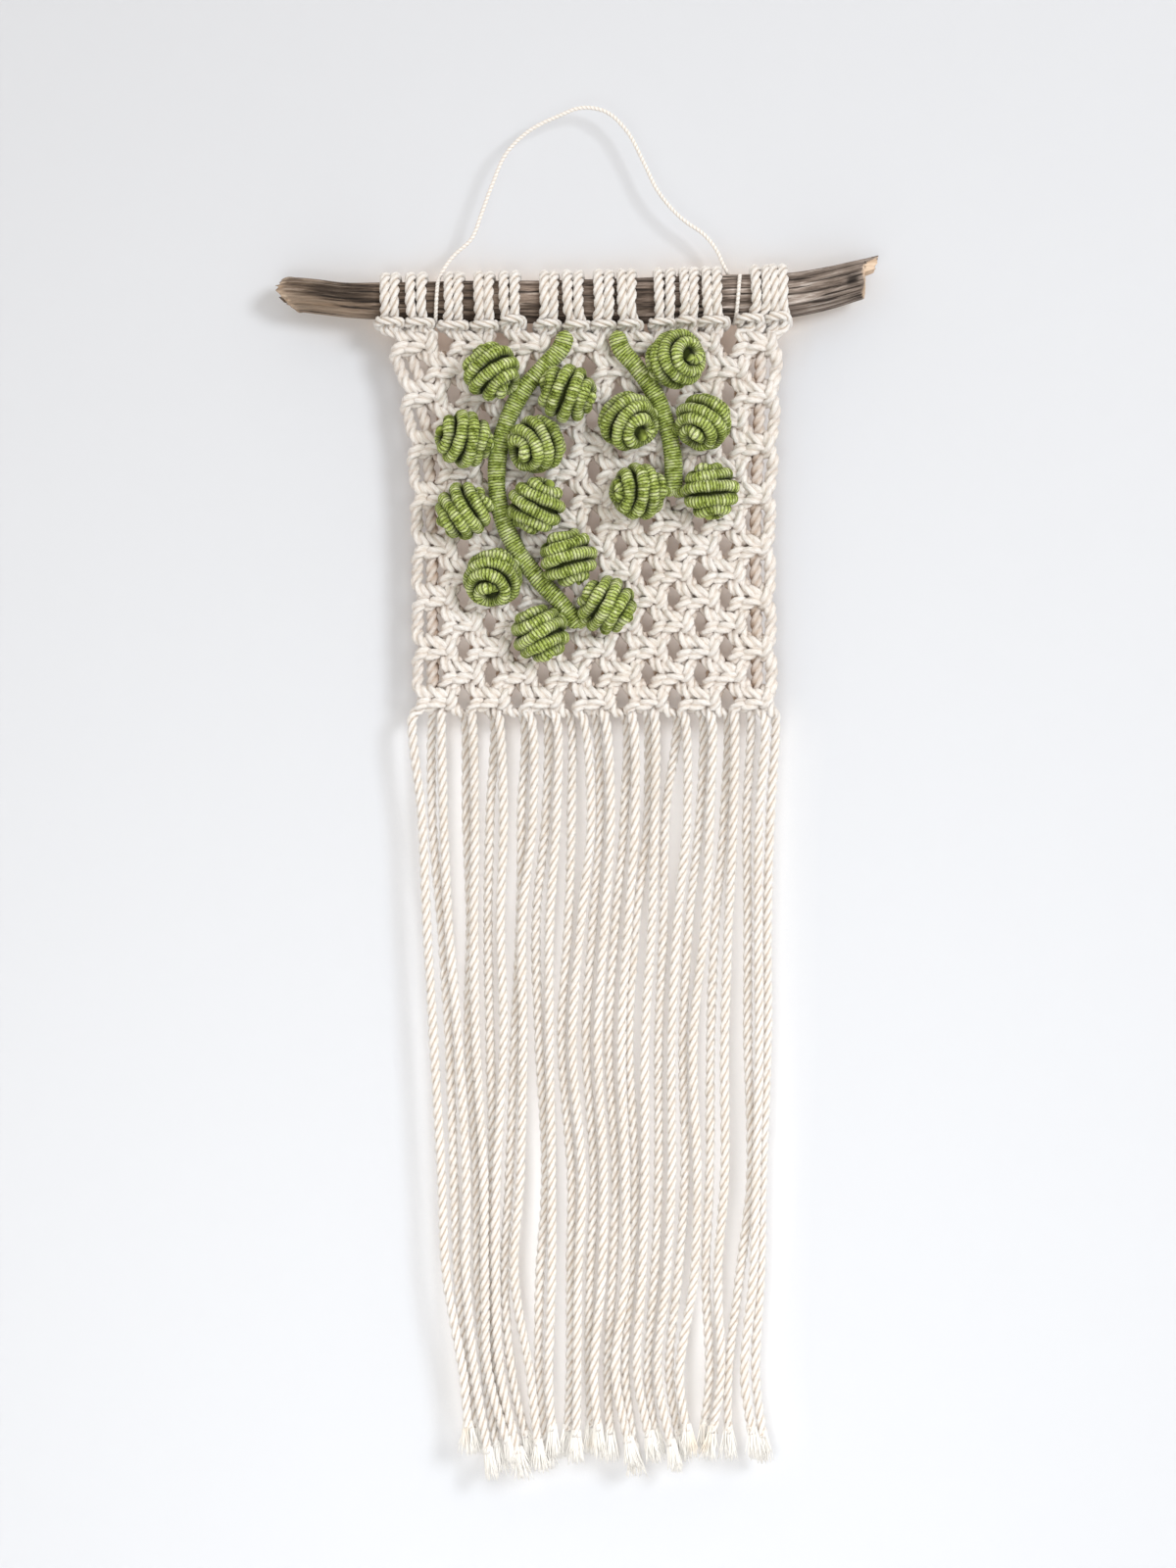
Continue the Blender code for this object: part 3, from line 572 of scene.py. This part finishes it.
def wall_finish():
    """Plain white, seen from its front alone, with painted warm bounce light in its shade where the
    part is close before it.

    The painted bounce light is brown behind the net and paler behind the fringe, in place of the
    light that cream cords throw on a wall close behind them. It ends above the floor.
    """
    made, shader, add = new_finish("white_wall", 0.9)
    plain = (0.66, 0.685, 0.73)
    # painted bounce light and shade: the wall's colour follows how hollow it is close behind the
    # part
    hollow = add("ShaderNodeAmbientOcclusion", samples=8, Distance=0.025).outputs["AO"]
    bounce_behind_net = ramp(add, hollow, [
        (0.10, 0.95, 0.75, 0.63), (0.42, 0.80, 0.74, 0.69), (0.63, 0.65, 0.645, 0.655),
        (0.85, *plain)])
    bounce_behind_fringe = ramp(add, hollow, [
        (0.10, 0.93, 0.86, 0.80), (0.42, 0.92, 0.885, 0.86), (0.70, 0.85, 0.85, 0.86),
        (0.94, *plain)])
    height = add("ShaderNodeSeparateXYZ", Vector=object_place(add)).outputs["Z"]

    def below(level):
        """0 above a level and 1 from 20 mm below it."""
        return clamp(add, maths(add, "MULTIPLY", maths(add, "SUBTRACT", height, level), -50.0))

    painted_bounce = mix(add, below(-0.238), bounce_behind_net, bounce_behind_fringe)
    feed(shader.inputs["Base Color"], mix(add, below(-0.585), painted_bounce, plain))
    one_sided = add("ShaderNodeMixShader")
    feed(one_sided.inputs[0], add("ShaderNodeNewGeometry").outputs["Backfacing"])
    feed(one_sided.inputs[1], shader.outputs[0])
    feed(one_sided.inputs[2], add("ShaderNodeBsdfTransparent").outputs[0])
    feed(made.node_tree.nodes["Material Output"].inputs["Surface"], one_sided.outputs[0])
    return made


def floor_finish():
    made, shader, _ = new_finish("pale_floor", 0.9)
    feed(shader.inputs["Base Color"], (0.56, 0.55, 0.535))
    return made


# Camera, light and stage, in metres -----------------------------------------------------------

SENSOR = 36.0                  # mm
CAMERA_DISTANCE = 1.6
PICTURE_HEIGHT = 0.64          # what the picture shows from top to bottom, where the part hangs
PICTURE_MIDDLE = (0.0032, -0.2752)
PART_MIDDLE = (0.0, 0.0, -0.28)
FLOOR_Z = -0.64
WALL_Y = 0.0145
WALL_TOP = 2.2
STAGE_REACH = 3


def add_camera():
    data = bpy.data.cameras.new("front_camera")
    data.sensor_width = SENSOR
    data.lens = SENSOR * CAMERA_DISTANCE / PICTURE_HEIGHT
    data.clip_start = 0.05
    camera = bpy.data.objects.new("front_camera", data)
    camera.location = (PICTURE_MIDDLE[0], -CAMERA_DISTANCE, PICTURE_MIDDLE[1])
    camera.rotation_euler = (math.pi / 2, 0, 0)
    bpy.context.scene.collection.objects.link(camera)
    bpy.context.scene.camera = camera


def add_light(name, spot, target, size, power, colour=(1.0, 1.0, 1.0), spread=math.pi):
    """A round lamp at a spot, turned to its target."""
    data = bpy.data.lights.new(name, "AREA")
    data.shape = "DISK"
    data.size = size
    data.energy = power
    data.color = colour
    data.spread = spread
    light = bpy.data.objects.new(name, data)
    light.location = spot
    light.rotation_mode = "QUATERNION"
    light.rotation_quaternion = (Vector(target) - light.location).to_track_quat("-Z", "Y")
    bpy.context.scene.collection.objects.link(light)


def stage_plane(name, corners, finish):
    mesh = bpy.data.meshes.new(name)
    mesh.from_pydata(corners, [], [(0, 1, 2, 3)])
    mesh.materials.append(finish)
    plane = bpy.data.objects.new(name, mesh)
    bpy.context.scene.collection.objects.link(plane)
    return plane


def add_stage():
    """A plain pale floor under the fringe, and a wall close behind, with painted bounce light near
    the part, that throws no shadow.
    """
    far = STAGE_REACH
    stage_plane("floor", [(-far, -far, FLOOR_Z), (far, -far, FLOOR_Z), (far, far, FLOOR_Z),
                          (-far, far, FLOOR_Z)], floor_finish())
    wall = stage_plane("wall", [(-far, WALL_Y, FLOOR_Z), (far, WALL_Y, FLOOR_Z),
                                (far, WALL_Y, WALL_TOP), (-far, WALL_Y, WALL_TOP)], wall_finish())
    wall.visible_shadow = False


def add_lights():
    """Bright warm air, a weaker cool window from the upper right, a low fill, and one behind."""
    world = bpy.data.worlds.new("studio")
    world.use_nodes = True
    air = world.node_tree.nodes["Background"]
    feed(air.inputs["Color"], (1.0, 0.935, 0.86))
    feed(air.inputs["Strength"], 0.875)
    bpy.context.scene.world = world
    add_light("window_right", (1.25, -2.2, 0.4), PART_MIDDLE, 0.8, 28.6, (0.95, 0.975, 1.0))
    add_light("fill_low", (-0.1, -1.1, -0.5), (0.0, 0.0, -0.72), 0.4, 1.3,
              (0.97, 0.975, 0.96), spread=1.5)
    add_light("back", (-0.6, 1.5, 0.5), PART_MIDDLE, 1.2, 17.0)
    bpy.context.scene.view_settings.view_transform = "Standard"


# The pieces ---------------------------------------------------------------------------------

def net_place(column, row):
    """Where the knot of a half-pitch column and a row lies, and the row's half pitch."""
    left = np.interp(row, NET_EDGES[:, 0], NET_EDGES[:, 1])
    right = np.interp(row, NET_EDGES[:, 0], NET_EDGES[:, 2])
    half_pitch = (right - left) / HALF_PITCHES
    return left + half_pitch * (column + 1), ROW_TOP_Z - ROW_PITCH * row, half_pitch


def hitch_route(strand):
    """One strand of a lark's head: from the bar's middle round the rod and down behind the bar."""
    side = -1 if strand % 2 == 0 else 1
    strands_x, bar_x, bar_half, bar_z = HEADS[strand // 2]
    rod_z, radius = rod_shape(strands_x)
    sway = 0.8 * math.sin(2.7 * (strand // 2) + 1) + 0.45 * math.sin(5.1 * strand)
    route = []
    for degrees, out, bar_share, aside, blend in HITCH:
        angle = math.radians(degrees)
        x = (1 - blend) * (bar_x + side * bar_share * bar_half) + blend * (strands_x + side * aside)
        x += sway * share(degrees, 280, 150)
        lift = (bar_z - HITCH_BAR_Z) * (1 - share(degrees, 221, 40))
        reach = radius + out
        route.append((x, reach * math.cos(angle), rod_z + reach * math.sin(angle) + lift))
    under = rod_z - radius
    route.append((strands_x * 0.8 + bar_x * 0.2 + side * 1.95, -0.82 * radius, under + 0.3))
    route.append((strands_x * 0.6 + bar_x * 0.4 + side * 2.0, -5.4, under - 4.2))
    return route


def net_route(strand):
    """One strand through the rows: its place in each knot, or straight down at the free edges.

    A row of six leaves out two strands on either side. The outer of the two keeps to the edge.
    """
    route = []
    for row in range(ROWS):
        if row % 2 == 0:
            role, column = EVEN_ROLES[strand % 4], 2 * (strand // 4)
        elif 2 <= strand <= 25:
            role, column = ODD_ROLES[strand % 4], 2 * ((strand - 2) // 4) + 1
        else:
            if strand in (0, 27):
                x, z, _ = net_place(-1 if strand == 0 else 13, row)
                inward = EDGE_INSET if strand == 0 else -EDGE_INSET
                route.append((x + inward, NET_Y - 0.4, z))
            continue
        x, z, half_pitch = net_place(column, row)
        shape = np.array(KNOT[role])
        if row == 0:
            shape = shape[1:]
        spread = half_pitch / HALF_PITCH
        size = 2 * CORD_RADIUS
        route.extend(zip(x + size * spread * shape[:, 0], NET_Y + size * shape[:, 1],
                         z + size * shape[:, 2]))
    return route


def fringe_route(strand):
    """One strand below the last knot, through the table's places, in its layer."""
    *places, tip_x, tip_z = FRINGE[strand]
    y = NET_Y + (FRINGE_LAYER if strand % 2 else -FRINGE_LAYER)
    route = [(x, y, z) for x, z in zip(places, FRINGE_HEIGHTS)]
    route.append((tip_x, y, tip_z + TIP_LENGTH))
    return route


def cord_radius(lines):
    """A cord's radius: more round the rod, less in a fold's tight bar, most between the knots."""
    y, z = lines[..., 1], lines[..., 2]
    in_net = share(z, -92.0, -4.0) * share(z, -249.0, 8.0)
    on_rod = 1 - share(z, -90.0, -4.0)
    in_bar = share(z, -84.0, -2.0) * share(y, -8.2, -1.5) * on_rod
    loose = CORD_RADIUS * (1.01 + 0.12 * on_rod - 0.28 * in_bar)
    return loose + (KNOTTED_RADIUS - CORD_RADIUS) * in_net


def painted_hollow_shade(points):
    """How deep points lie in the net, as the amount of painted shade in its hollows: near 0 on its
    faces, 1 in its middle, less at its sides.
    """
    x, y, z = np.moveaxis(points, -1, 0)
    in_net = share(z, -90.0, -4.0) * share(z, -247.0, 5.0)
    inside = 1 - 0.75 * share(np.abs(x - NET_MIDDLE_X), 65, 4)
    middle = share(y, -7.2, 5.0) * share(y, -0.4, -2.2)
    return in_net * (0.08 + 0.92 * inside * middle)


def build_cords(cotton):
    """The 14 doubled cords, each one rope from a frayed tip over the fold's bar to the other tip.

    A rope is three round plies turning about its middle line: its outline is that of three
    touching strands, and it turns once in the lay's length. Returns each end of each cord, with
    the way that it points.
    """
    plies = 3
    outline = np.tile([0.60, 0.83, 1.02, 1.02, 0.83], plies)
    ply_angles = np.tile(np.radians([-60, -36, -12, 12, 36]), plies)
    ply_angles = np.repeat(np.arange(plies) * TAU / plies, 5) + ply_angles
    rings = 1280
    back = 6
    ends = []
    rng = np.random.default_rng(SEED)
    for number, heads in enumerate(CORD_GROUPS, start=1):
        lines, lengths = [], []
        for head in range(*heads):
            routes = (hitch_route(strand) + net_route(strand) + fringe_route(strand)
                      for strand in (2 * head, 2 * head + 1))
            left, right = (even_route(route, rings, 0.5)[0] for route in routes)
            line, length = even_route(np.concatenate([left[:0:-2], right[::2]]), rings)
            lines.append(line)
            lengths.append(length)
        lines, lengths = np.array(lines), np.array(lengths)
        along = np.linspace(0, 1, rings)[None, :, None] * lengths[:, None, None]
        phase = rng.uniform(0, TAU, len(lengths))[:, None, None]
        lay = LAY * (1 + 0.05 * rng.uniform(-1, 1, len(lengths)))[:, None, None]
        loose = 0.5 * np.sin(along / 41 + phase) + 0.3 * np.sin(along / 17 + 2 * phase)
        angles = ply_angles + phase + TAU * along / lay + loose
        wander = 1 + 0.03 * np.sin(along / 7 + phase) + 0.02 * np.sin(along / 2.3 + 2 * phase)
        radii = outline * wander * cord_radius(lines)[..., None]
        replaced = [f"larks_head_{k + 1:02d}" for k in range(*heads)] + ["knotted_net", "fringe"]
        tubes(f"cotton_cords_{number}", lines, lengths, angles, radii, cotton,
              replaced, painted_hollow_shade)
        ends.extend(zip(lines[:, 0], lines[:, 0] - lines[:, back]))
        ends.extend(zip(lines[:, -1], lines[:, -1] - lines[:, -1 - back]))
    return ends


def build_tips(ends, frayed):
    """Frayed tips: fine fibres that start inside each cord's end and spread as they run down."""
    rng = np.random.default_rng(SEED + 1)
    per_tip, steps, sides = 74, 7, 3
    overlap = 3.0                  # how far up inside the cord the fibres start
    t = np.linspace(0, 1, steps)[None, :]
    lines, lengths = [], []
    for end, direction in ends:
        along = direction / np.linalg.norm(direction)
        turn = rng.uniform(0, TAU, per_tip)[:, None]
        start = 1.75 * np.sqrt(rng.uniform(0.02, 1, per_tip))[:, None]
        flare = rng.uniform(2.0, 4.2)
        spread = flare * rng.uniform(-0.2, 1.0, per_tip)[:, None]
        reach = rng.uniform(6.0, 11.5, per_tip)[:, None]
        curl = rng.uniform(-0.9, 0.9, per_tip)[:, None]
        out = start + spread * t ** 1.3
        x = end[0] + along[0] * reach * t + out * np.cos(turn + curl * t)
        y = end[1] + along[1] * reach * t + 0.7 * out * np.sin(turn + curl * t)
        z = end[2] + overlap + along[2] * (reach + overlap) * t
        lines.append(np.stack([x, y, z], -1))
        lengths.append(reach[:, 0] + overlap)
    lines, lengths = np.concatenate(lines), np.concatenate(lengths)
    shape = (len(lines), steps, sides)
    angles = np.broadcast_to(np.arange(sides) * TAU / sides, shape)
    thin = 0.36 * (1 - 0.7 * t[..., None] ** 2)
    radii = np.broadcast_to(thin, shape) * rng.uniform(0.7, 1.3, (len(lines), 1, 1))
    tubes("frayed_tips", lines, lengths, angles, radii, frayed)


def wrapped_cord(lengths, rings, around, radius):
    """Angles and radii of a yarn-wrapped cord: ridges that run round it as a fine helix."""
    place = np.arange(around) * TAU / around
    along = np.linspace(0, 1, rings)[None, :, None] * np.asarray(lengths)[:, None, None]
    ridge = np.abs(np.sin(math.pi * along / YARN - place / 2))
    radii = radius * (0.90 + 0.11 * ridge)
    return np.broadcast_to(place, radii.shape), radii


def berry_places(side):
    """Berries sit at even spacing along a line beside the stem, one such line on either side.

    Returns the place of each in x and z, and the way from it to the stem.
    """
    route = np.array(STEM_ROUTES[side], float)
    length = np.linalg.norm(np.diff(route, axis=0), axis=1).sum()
    line, _ = even_route(route, int(length / 5) + 1)
    along = unit(np.gradient(line, axis=0))
    across = np.stack([along[:, 1], -along[:, 0]], axis=1)
    places = []
    for hand, count, first, spacing in BERRIES[side]:
        beside = line + hand * BERRY_OFFSET * across
        run = np.append(0, np.cumsum(np.linalg.norm(np.diff(beside, axis=0), axis=1)))
        for at in first + spacing * np.arange(count):
            place, root = (np.array([np.interp(at, run, axis) for axis in row.T])
                           for row in (beside, line))
            places.append((place, unit(root - place)))
    return places


def build_berry(number, place, toward, yarn):
    """A berry: wrapped cord wound on a ball as a spiral from one pole to the other.

    The spiral's angle from its axis grows evenly while it turns, and a small ball, coloured near
    black as painted shade, fills the middle. The axis lies near the wall's plane and turns by the
    golden angle from berry to berry. A short link of the same cord joins it to the stem.
    """
    rng = np.random.default_rng(SEED + 10 + number)
    core = BERRY_RADIUS * rng.uniform(0.975, 1.02) - WINDING
    squash = (1, (BERRY_HALF_DEPTH - WINDING) / core, 1)
    centre = np.array([place[0], BERRY_Y, place[1]])

    t = np.linspace(0, 1, 420)
    turn = TAU * BERRY_TURNS * t + rng.uniform(0, TAU)
    down = math.pi * (0.06 + 0.88 * t) + 0.075 * np.sin(1.37 * turn + number) * np.sin(math.pi * t)
    spiral = core * np.stack([np.sin(down) * np.cos(turn), np.sin(down) * np.sin(turn),
                              np.cos(down)], -1)
    lean, spin = rng.uniform(-0.1, 1.15), number * GOLDEN_ANGLE
    c, s = math.cos(lean), math.sin(lean)
    tilt = np.array([(1, 0, 0), (0, c, -s), (0, s, c)])
    c, s = math.cos(spin), math.sin(spin)
    about = np.array([(c, 0, s), (0, 1, 0), (-s, 0, c)])
    wobble = 1 + 0.04 * np.sin(3.1 * turn[:, None] + number)
    spiral = spiral @ (about @ tilt).T * squash * wobble + centre
    rings = 480
    line, length = even_route(spiral[::4], rings)
    angles, radii = wrapped_cord([length], rings, BERRY_SIDES, WINDING)
    run = np.linspace(0, length, rings)[:, None]
    radii = radii * (1 + 0.05 * np.sin(run / 1.9 + number) + 0.04 * np.sin(run / 0.83 + angles[0]))
    coil = carried_profile(line[None], angles, radii).reshape(-1, 3)
    parts = tube_parts(1, rings, BERRY_SIDES, length / (rings - 1))

    out = np.array([toward[0], 0, toward[1]])
    rings = 36
    route = [centre + out * (core - 3.0), centre + out * (core + 0.5) + (0, 2.0, 0),
             centre + out * (BERRY_OFFSET - 1.0) + (0, STEM_Y - BERRY_Y, 0)]
    line, length = even_route(route, rings)
    angles, radii = wrapped_cord([length], rings, BERRY_SIDES, WINDING * 0.85)
    link = carried_profile(line[None], angles, radii).reshape(-1, 3)
    parts += tube_parts(1, rings, BERRY_SIDES, length / (rings - 1), first=len(coil))

    rows, columns, pole = 8, 12, 0.12
    polar, side = np.meshgrid(np.linspace(pole, math.pi - pole, rows),
                              np.arange(columns) * TAU / columns, indexing="ij")
    ball = core * 0.92 * np.stack([np.sin(polar) * np.cos(side), -np.sin(polar) * np.sin(side),
                                   np.cos(polar)], -1)
    ball = ball.reshape(-1, 3) * squash + centre
    quads, u, ring = grid_faces(1, rows, columns)
    first = len(coil) + len(link)
    parts += [(quads[:, ::-1] + first, u, ring),
              (cap_faces(1, rows, columns)[:, ::-1] + first, 0.5, 0.0)]

    # The tone falls from 0 on the crest of a winding to -1 down at the ball, for painted shade near
    # black between the windings and on the ball; the link stays pale, with less painted shade.
    points = np.concatenate([coil, link, ball])
    above = np.linalg.norm((points - centre) / squash, axis=1) - core
    tones = -np.clip(1 - above / (1.02 * WINDING), 0, 1)
    tones[len(coil):len(coil) + len(link)] *= 0.3
    make_piece(f"coiled_berry_{number:02d}", points, parts, yarn,
               [f"berry_{number:02d}"], tones)


def build_sprigs(yarn):
    """Both stems, bent rods with round ends and a slightly uneven thickness, and their berries."""
    number = 0
    for side in ("left", "right"):
        route = [(x, STEM_Y, z) for x, z in STEM_ROUTES[side]]
        rings = 5 * int(abs(route[-1][2] - route[0][2]) * 1.15 / YARN)
        line, length = even_route(route, rings)
        angles, radii = wrapped_cord([length], rings, 18, STEM_RADIUS)
        to_end = np.minimum(np.linspace(0, length, rings), np.linspace(length, 0, rings))
        round_end = np.sqrt(1 - np.clip(1 - to_end / STEM_RADIUS, 0, 0.97) ** 2)
        lump = 1 + 0.035 * np.sin(np.linspace(0, length / 4.3, rings))
        radii = radii * (round_end * lump)[None, :, None]
        tubes(f"wrapped_stem_{side}", line[None], [length], angles, radii, yarn,
              [f"sprig_stem_{side}"])
        for place, toward in berry_places(side):
            number += 1
            build_berry(number, place, toward, yarn)


def wrap_points(wrap, count):
    """A turn of the string round the rod: a helix that hugs the rod's radius."""
    x_from, x_to, turn_from, turn_to = wrap
    x = np.linspace(x_from, x_to, count)
    turn = np.radians(np.linspace(turn_from, turn_to, count))
    height, radius = rod_shape(x)
    reach = radius * 1.03 + 0.35 + STRING_RADIUS
    return np.stack([x, reach * np.cos(turn), height + reach * np.sin(turn)], -1)


def build_string(twine):
    """The hanging string: two plies turning about one line, wound round the rod at both ends."""
    rings, sides = 620, 10
    left, right = wrap_points(LEFT_WRAP, 16), wrap_points(RIGHT_WRAP, 16)
    loop, _ = even_route([left[-1], *STRING_LOOP, right[0]], 46)
    line, length = even_route(np.concatenate([left, loop[1:-1], right]), rings)
    place = np.arange(sides) * TAU / sides
    along = np.linspace(0, length, rings)[None, :, None]
    radii = np.broadcast_to(STRING_RADIUS * (0.96 + 0.14 * np.cos(2 * place)), (1, rings, sides))
    piece = tubes("twisted_string", line[None], [length], place + TAU * along / STRING_LAY, radii,
                  twine, ["hanging_string"])


def angle_from(angle, start):
    """The angle from a start, between minus and plus half a turn."""
    return np.angle(np.exp(1j * (angle - start)))


def rod_relief(x, angle):
    """The rod's fine grain, and its cracks as depths from 0 to 1.

    The grain is a sum of waves that change fast round the rod and slowly along it. Each crack
    is a narrow valley that fades at its ends, and one more is the round hole of a lost twig.
    """
    rng = np.random.default_rng(SEED + 3)
    grain = np.zeros_like(x)
    for _ in range(30):
        wave, slow = rng.integers(9, 44), rng.uniform(9, 45)
        sway = 0.8 * np.sin(x / rng.uniform(18, 50) + rng.uniform(0, TAU))
        grain += rng.uniform(0.4, 1.0) * np.sin(wave * angle + sway + x / slow
                                                + rng.uniform(0, TAU))
    places = [(rng.uniform(-118, 112), rng.uniform(6, 30), rng.uniform(0, TAU)) for _ in range(56)]
    cracks = np.zeros_like(x)
    for middle, span, at in places + FRONT_CRACKS:
        aside = angle_from(angle, at + 0.04 * np.sin(x / 8 + rng.uniform(0, TAU)))
        cracks += rng.uniform(0.6, 1.0) * np.exp(-(aside / 0.04) ** 2 - ((x - middle) / span) ** 4)
    hole = np.exp(-((x - 110.6) / 2.6) ** 4 - (angle_from(angle, FRONT) / 0.27) ** 4)
    return grain, np.clip(cracks + 0.9 * hole, 0, 1)


def build_rod(wood):
    """The driftwood: a turned outline with worn flats, long grain, cracks and two broken ends.

    Radius = section + slow waves + grain - cracks. The left end is cut on a slant and gnawed. On
    the right only the part above a flat stays past the break, as a splinter: there z is never
    lower than the flat.
    """
    rings, around, splinter_rings = 300, 120, 16
    first, last = ROD_SECTIONS[0, 0], ROD_SECTIONS[-1, 0]
    step = (last - first) / (rings - 1)
    spots = np.append(np.linspace(first, last, rings), np.full(splinter_rings, last))
    height, radius = rod_shape(spots)
    x, angle = np.meshgrid(spots, np.arange(around) * TAU / around, indexing="ij")
    s = np.sin(angle)
    worn = 0.6 * np.sin(3 * angle + x / 19) + 0.4 * np.sin(2 * angle - x / 31)
    grain, cracks = rod_relief(x, angle)
    reach = radius[:, None] * (1 + 0.03 * worn) + 0.034 * grain - 0.5 * cracks
    across, rise = reach * np.cos(angle), reach * s

    fade = np.clip(1 - (x - first) / LEFT_CUT_REACH, 0, 1)
    gnawed = (0.8 * np.sin(7 * angle + 2.0) * np.sin(11 * angle) + 0.5 * np.sin(23 * angle)
              + 0.4 * np.sin(37 * angle + 1.0)) * fade ** 4
    along = x + fade * (LEFT_CUT[0] * s + LEFT_CUT[1] * s * s) + gnawed

    past = slice(rings, None)
    t = np.linspace(0, 1, splinter_rings)[:, None] ** 0.8
    torn = 1 + 0.10 * np.sin(13 * angle[past]) + 0.07 * np.sin(29 * angle[past] + 1)
    flat = 0.2 * radius[-1] + 0.25 * np.sin(across[past] * 1.9) + 0.5 * t
    along[past] = last + BREAK_LENGTH * t * torn * (0.74 + 0.26 * share(s[past], 0.2, 0.6))
    along[rings - 3:rings] += 0.25 * np.sin(17 * angle[rings - 3:rings])
    rise[past] = np.maximum(rise[past], flat) + 0.25 * (along[past] - last)
    across[past] *= 1 - 0.10 * t ** 3
    points = np.stack([along, across, height[:, None] + rise], -1)

    # Fresh wood shows below the skin's edge at the break, and at the left end, with a patch of
    # painted shade on the upper part of the rod beside it.
    broken = share(along + 0.5 * np.sin(5 * angle), last - 0.9, 0.8)
    skin = np.full_like(x, 0.66) + 0.05 * np.sin(9 * along)
    skin[past] += 0.22 * t
    end = np.clip(1 - (x - first) / 3.0, 0, 1)
    left = 0.5 * end * (1 + 0.5 * np.sin(23 * angle)) + 0.24 * (s < 0.05) * share(x, -82, -14)
    shade = 0.62 * np.exp(-((x + 98) / 12.5) ** 4 - ((s - 0.3) / 0.42) ** 4)
    fresh = np.clip(broken * np.clip((skin - s) / 0.05, 0, 1) + left, 0, 1)
    # painted shade: the tone goes down in the cracks, in the twig's hole and in the patch by the
    # left end
    tone = np.clip(fresh - cracks * (1 - 0.6 * broken) - shade, -1, 1)
    parts = tube_parts(1, rings + splinter_rings, around, step, turned=True)
    make_piece("driftwood_stick", points, parts, wood, ["driftwood_rod"], values=tone)


def main():
    add_camera()
    build_string(twine_finish())
    cotton, yarn = cotton_finish(), yarn_finish()
    ends = build_cords(cotton)
    build_tips(ends, frayed_finish())
    build_sprigs(yarn)
    build_rod(wood_finish())
    add_stage()
    add_lights()


main()
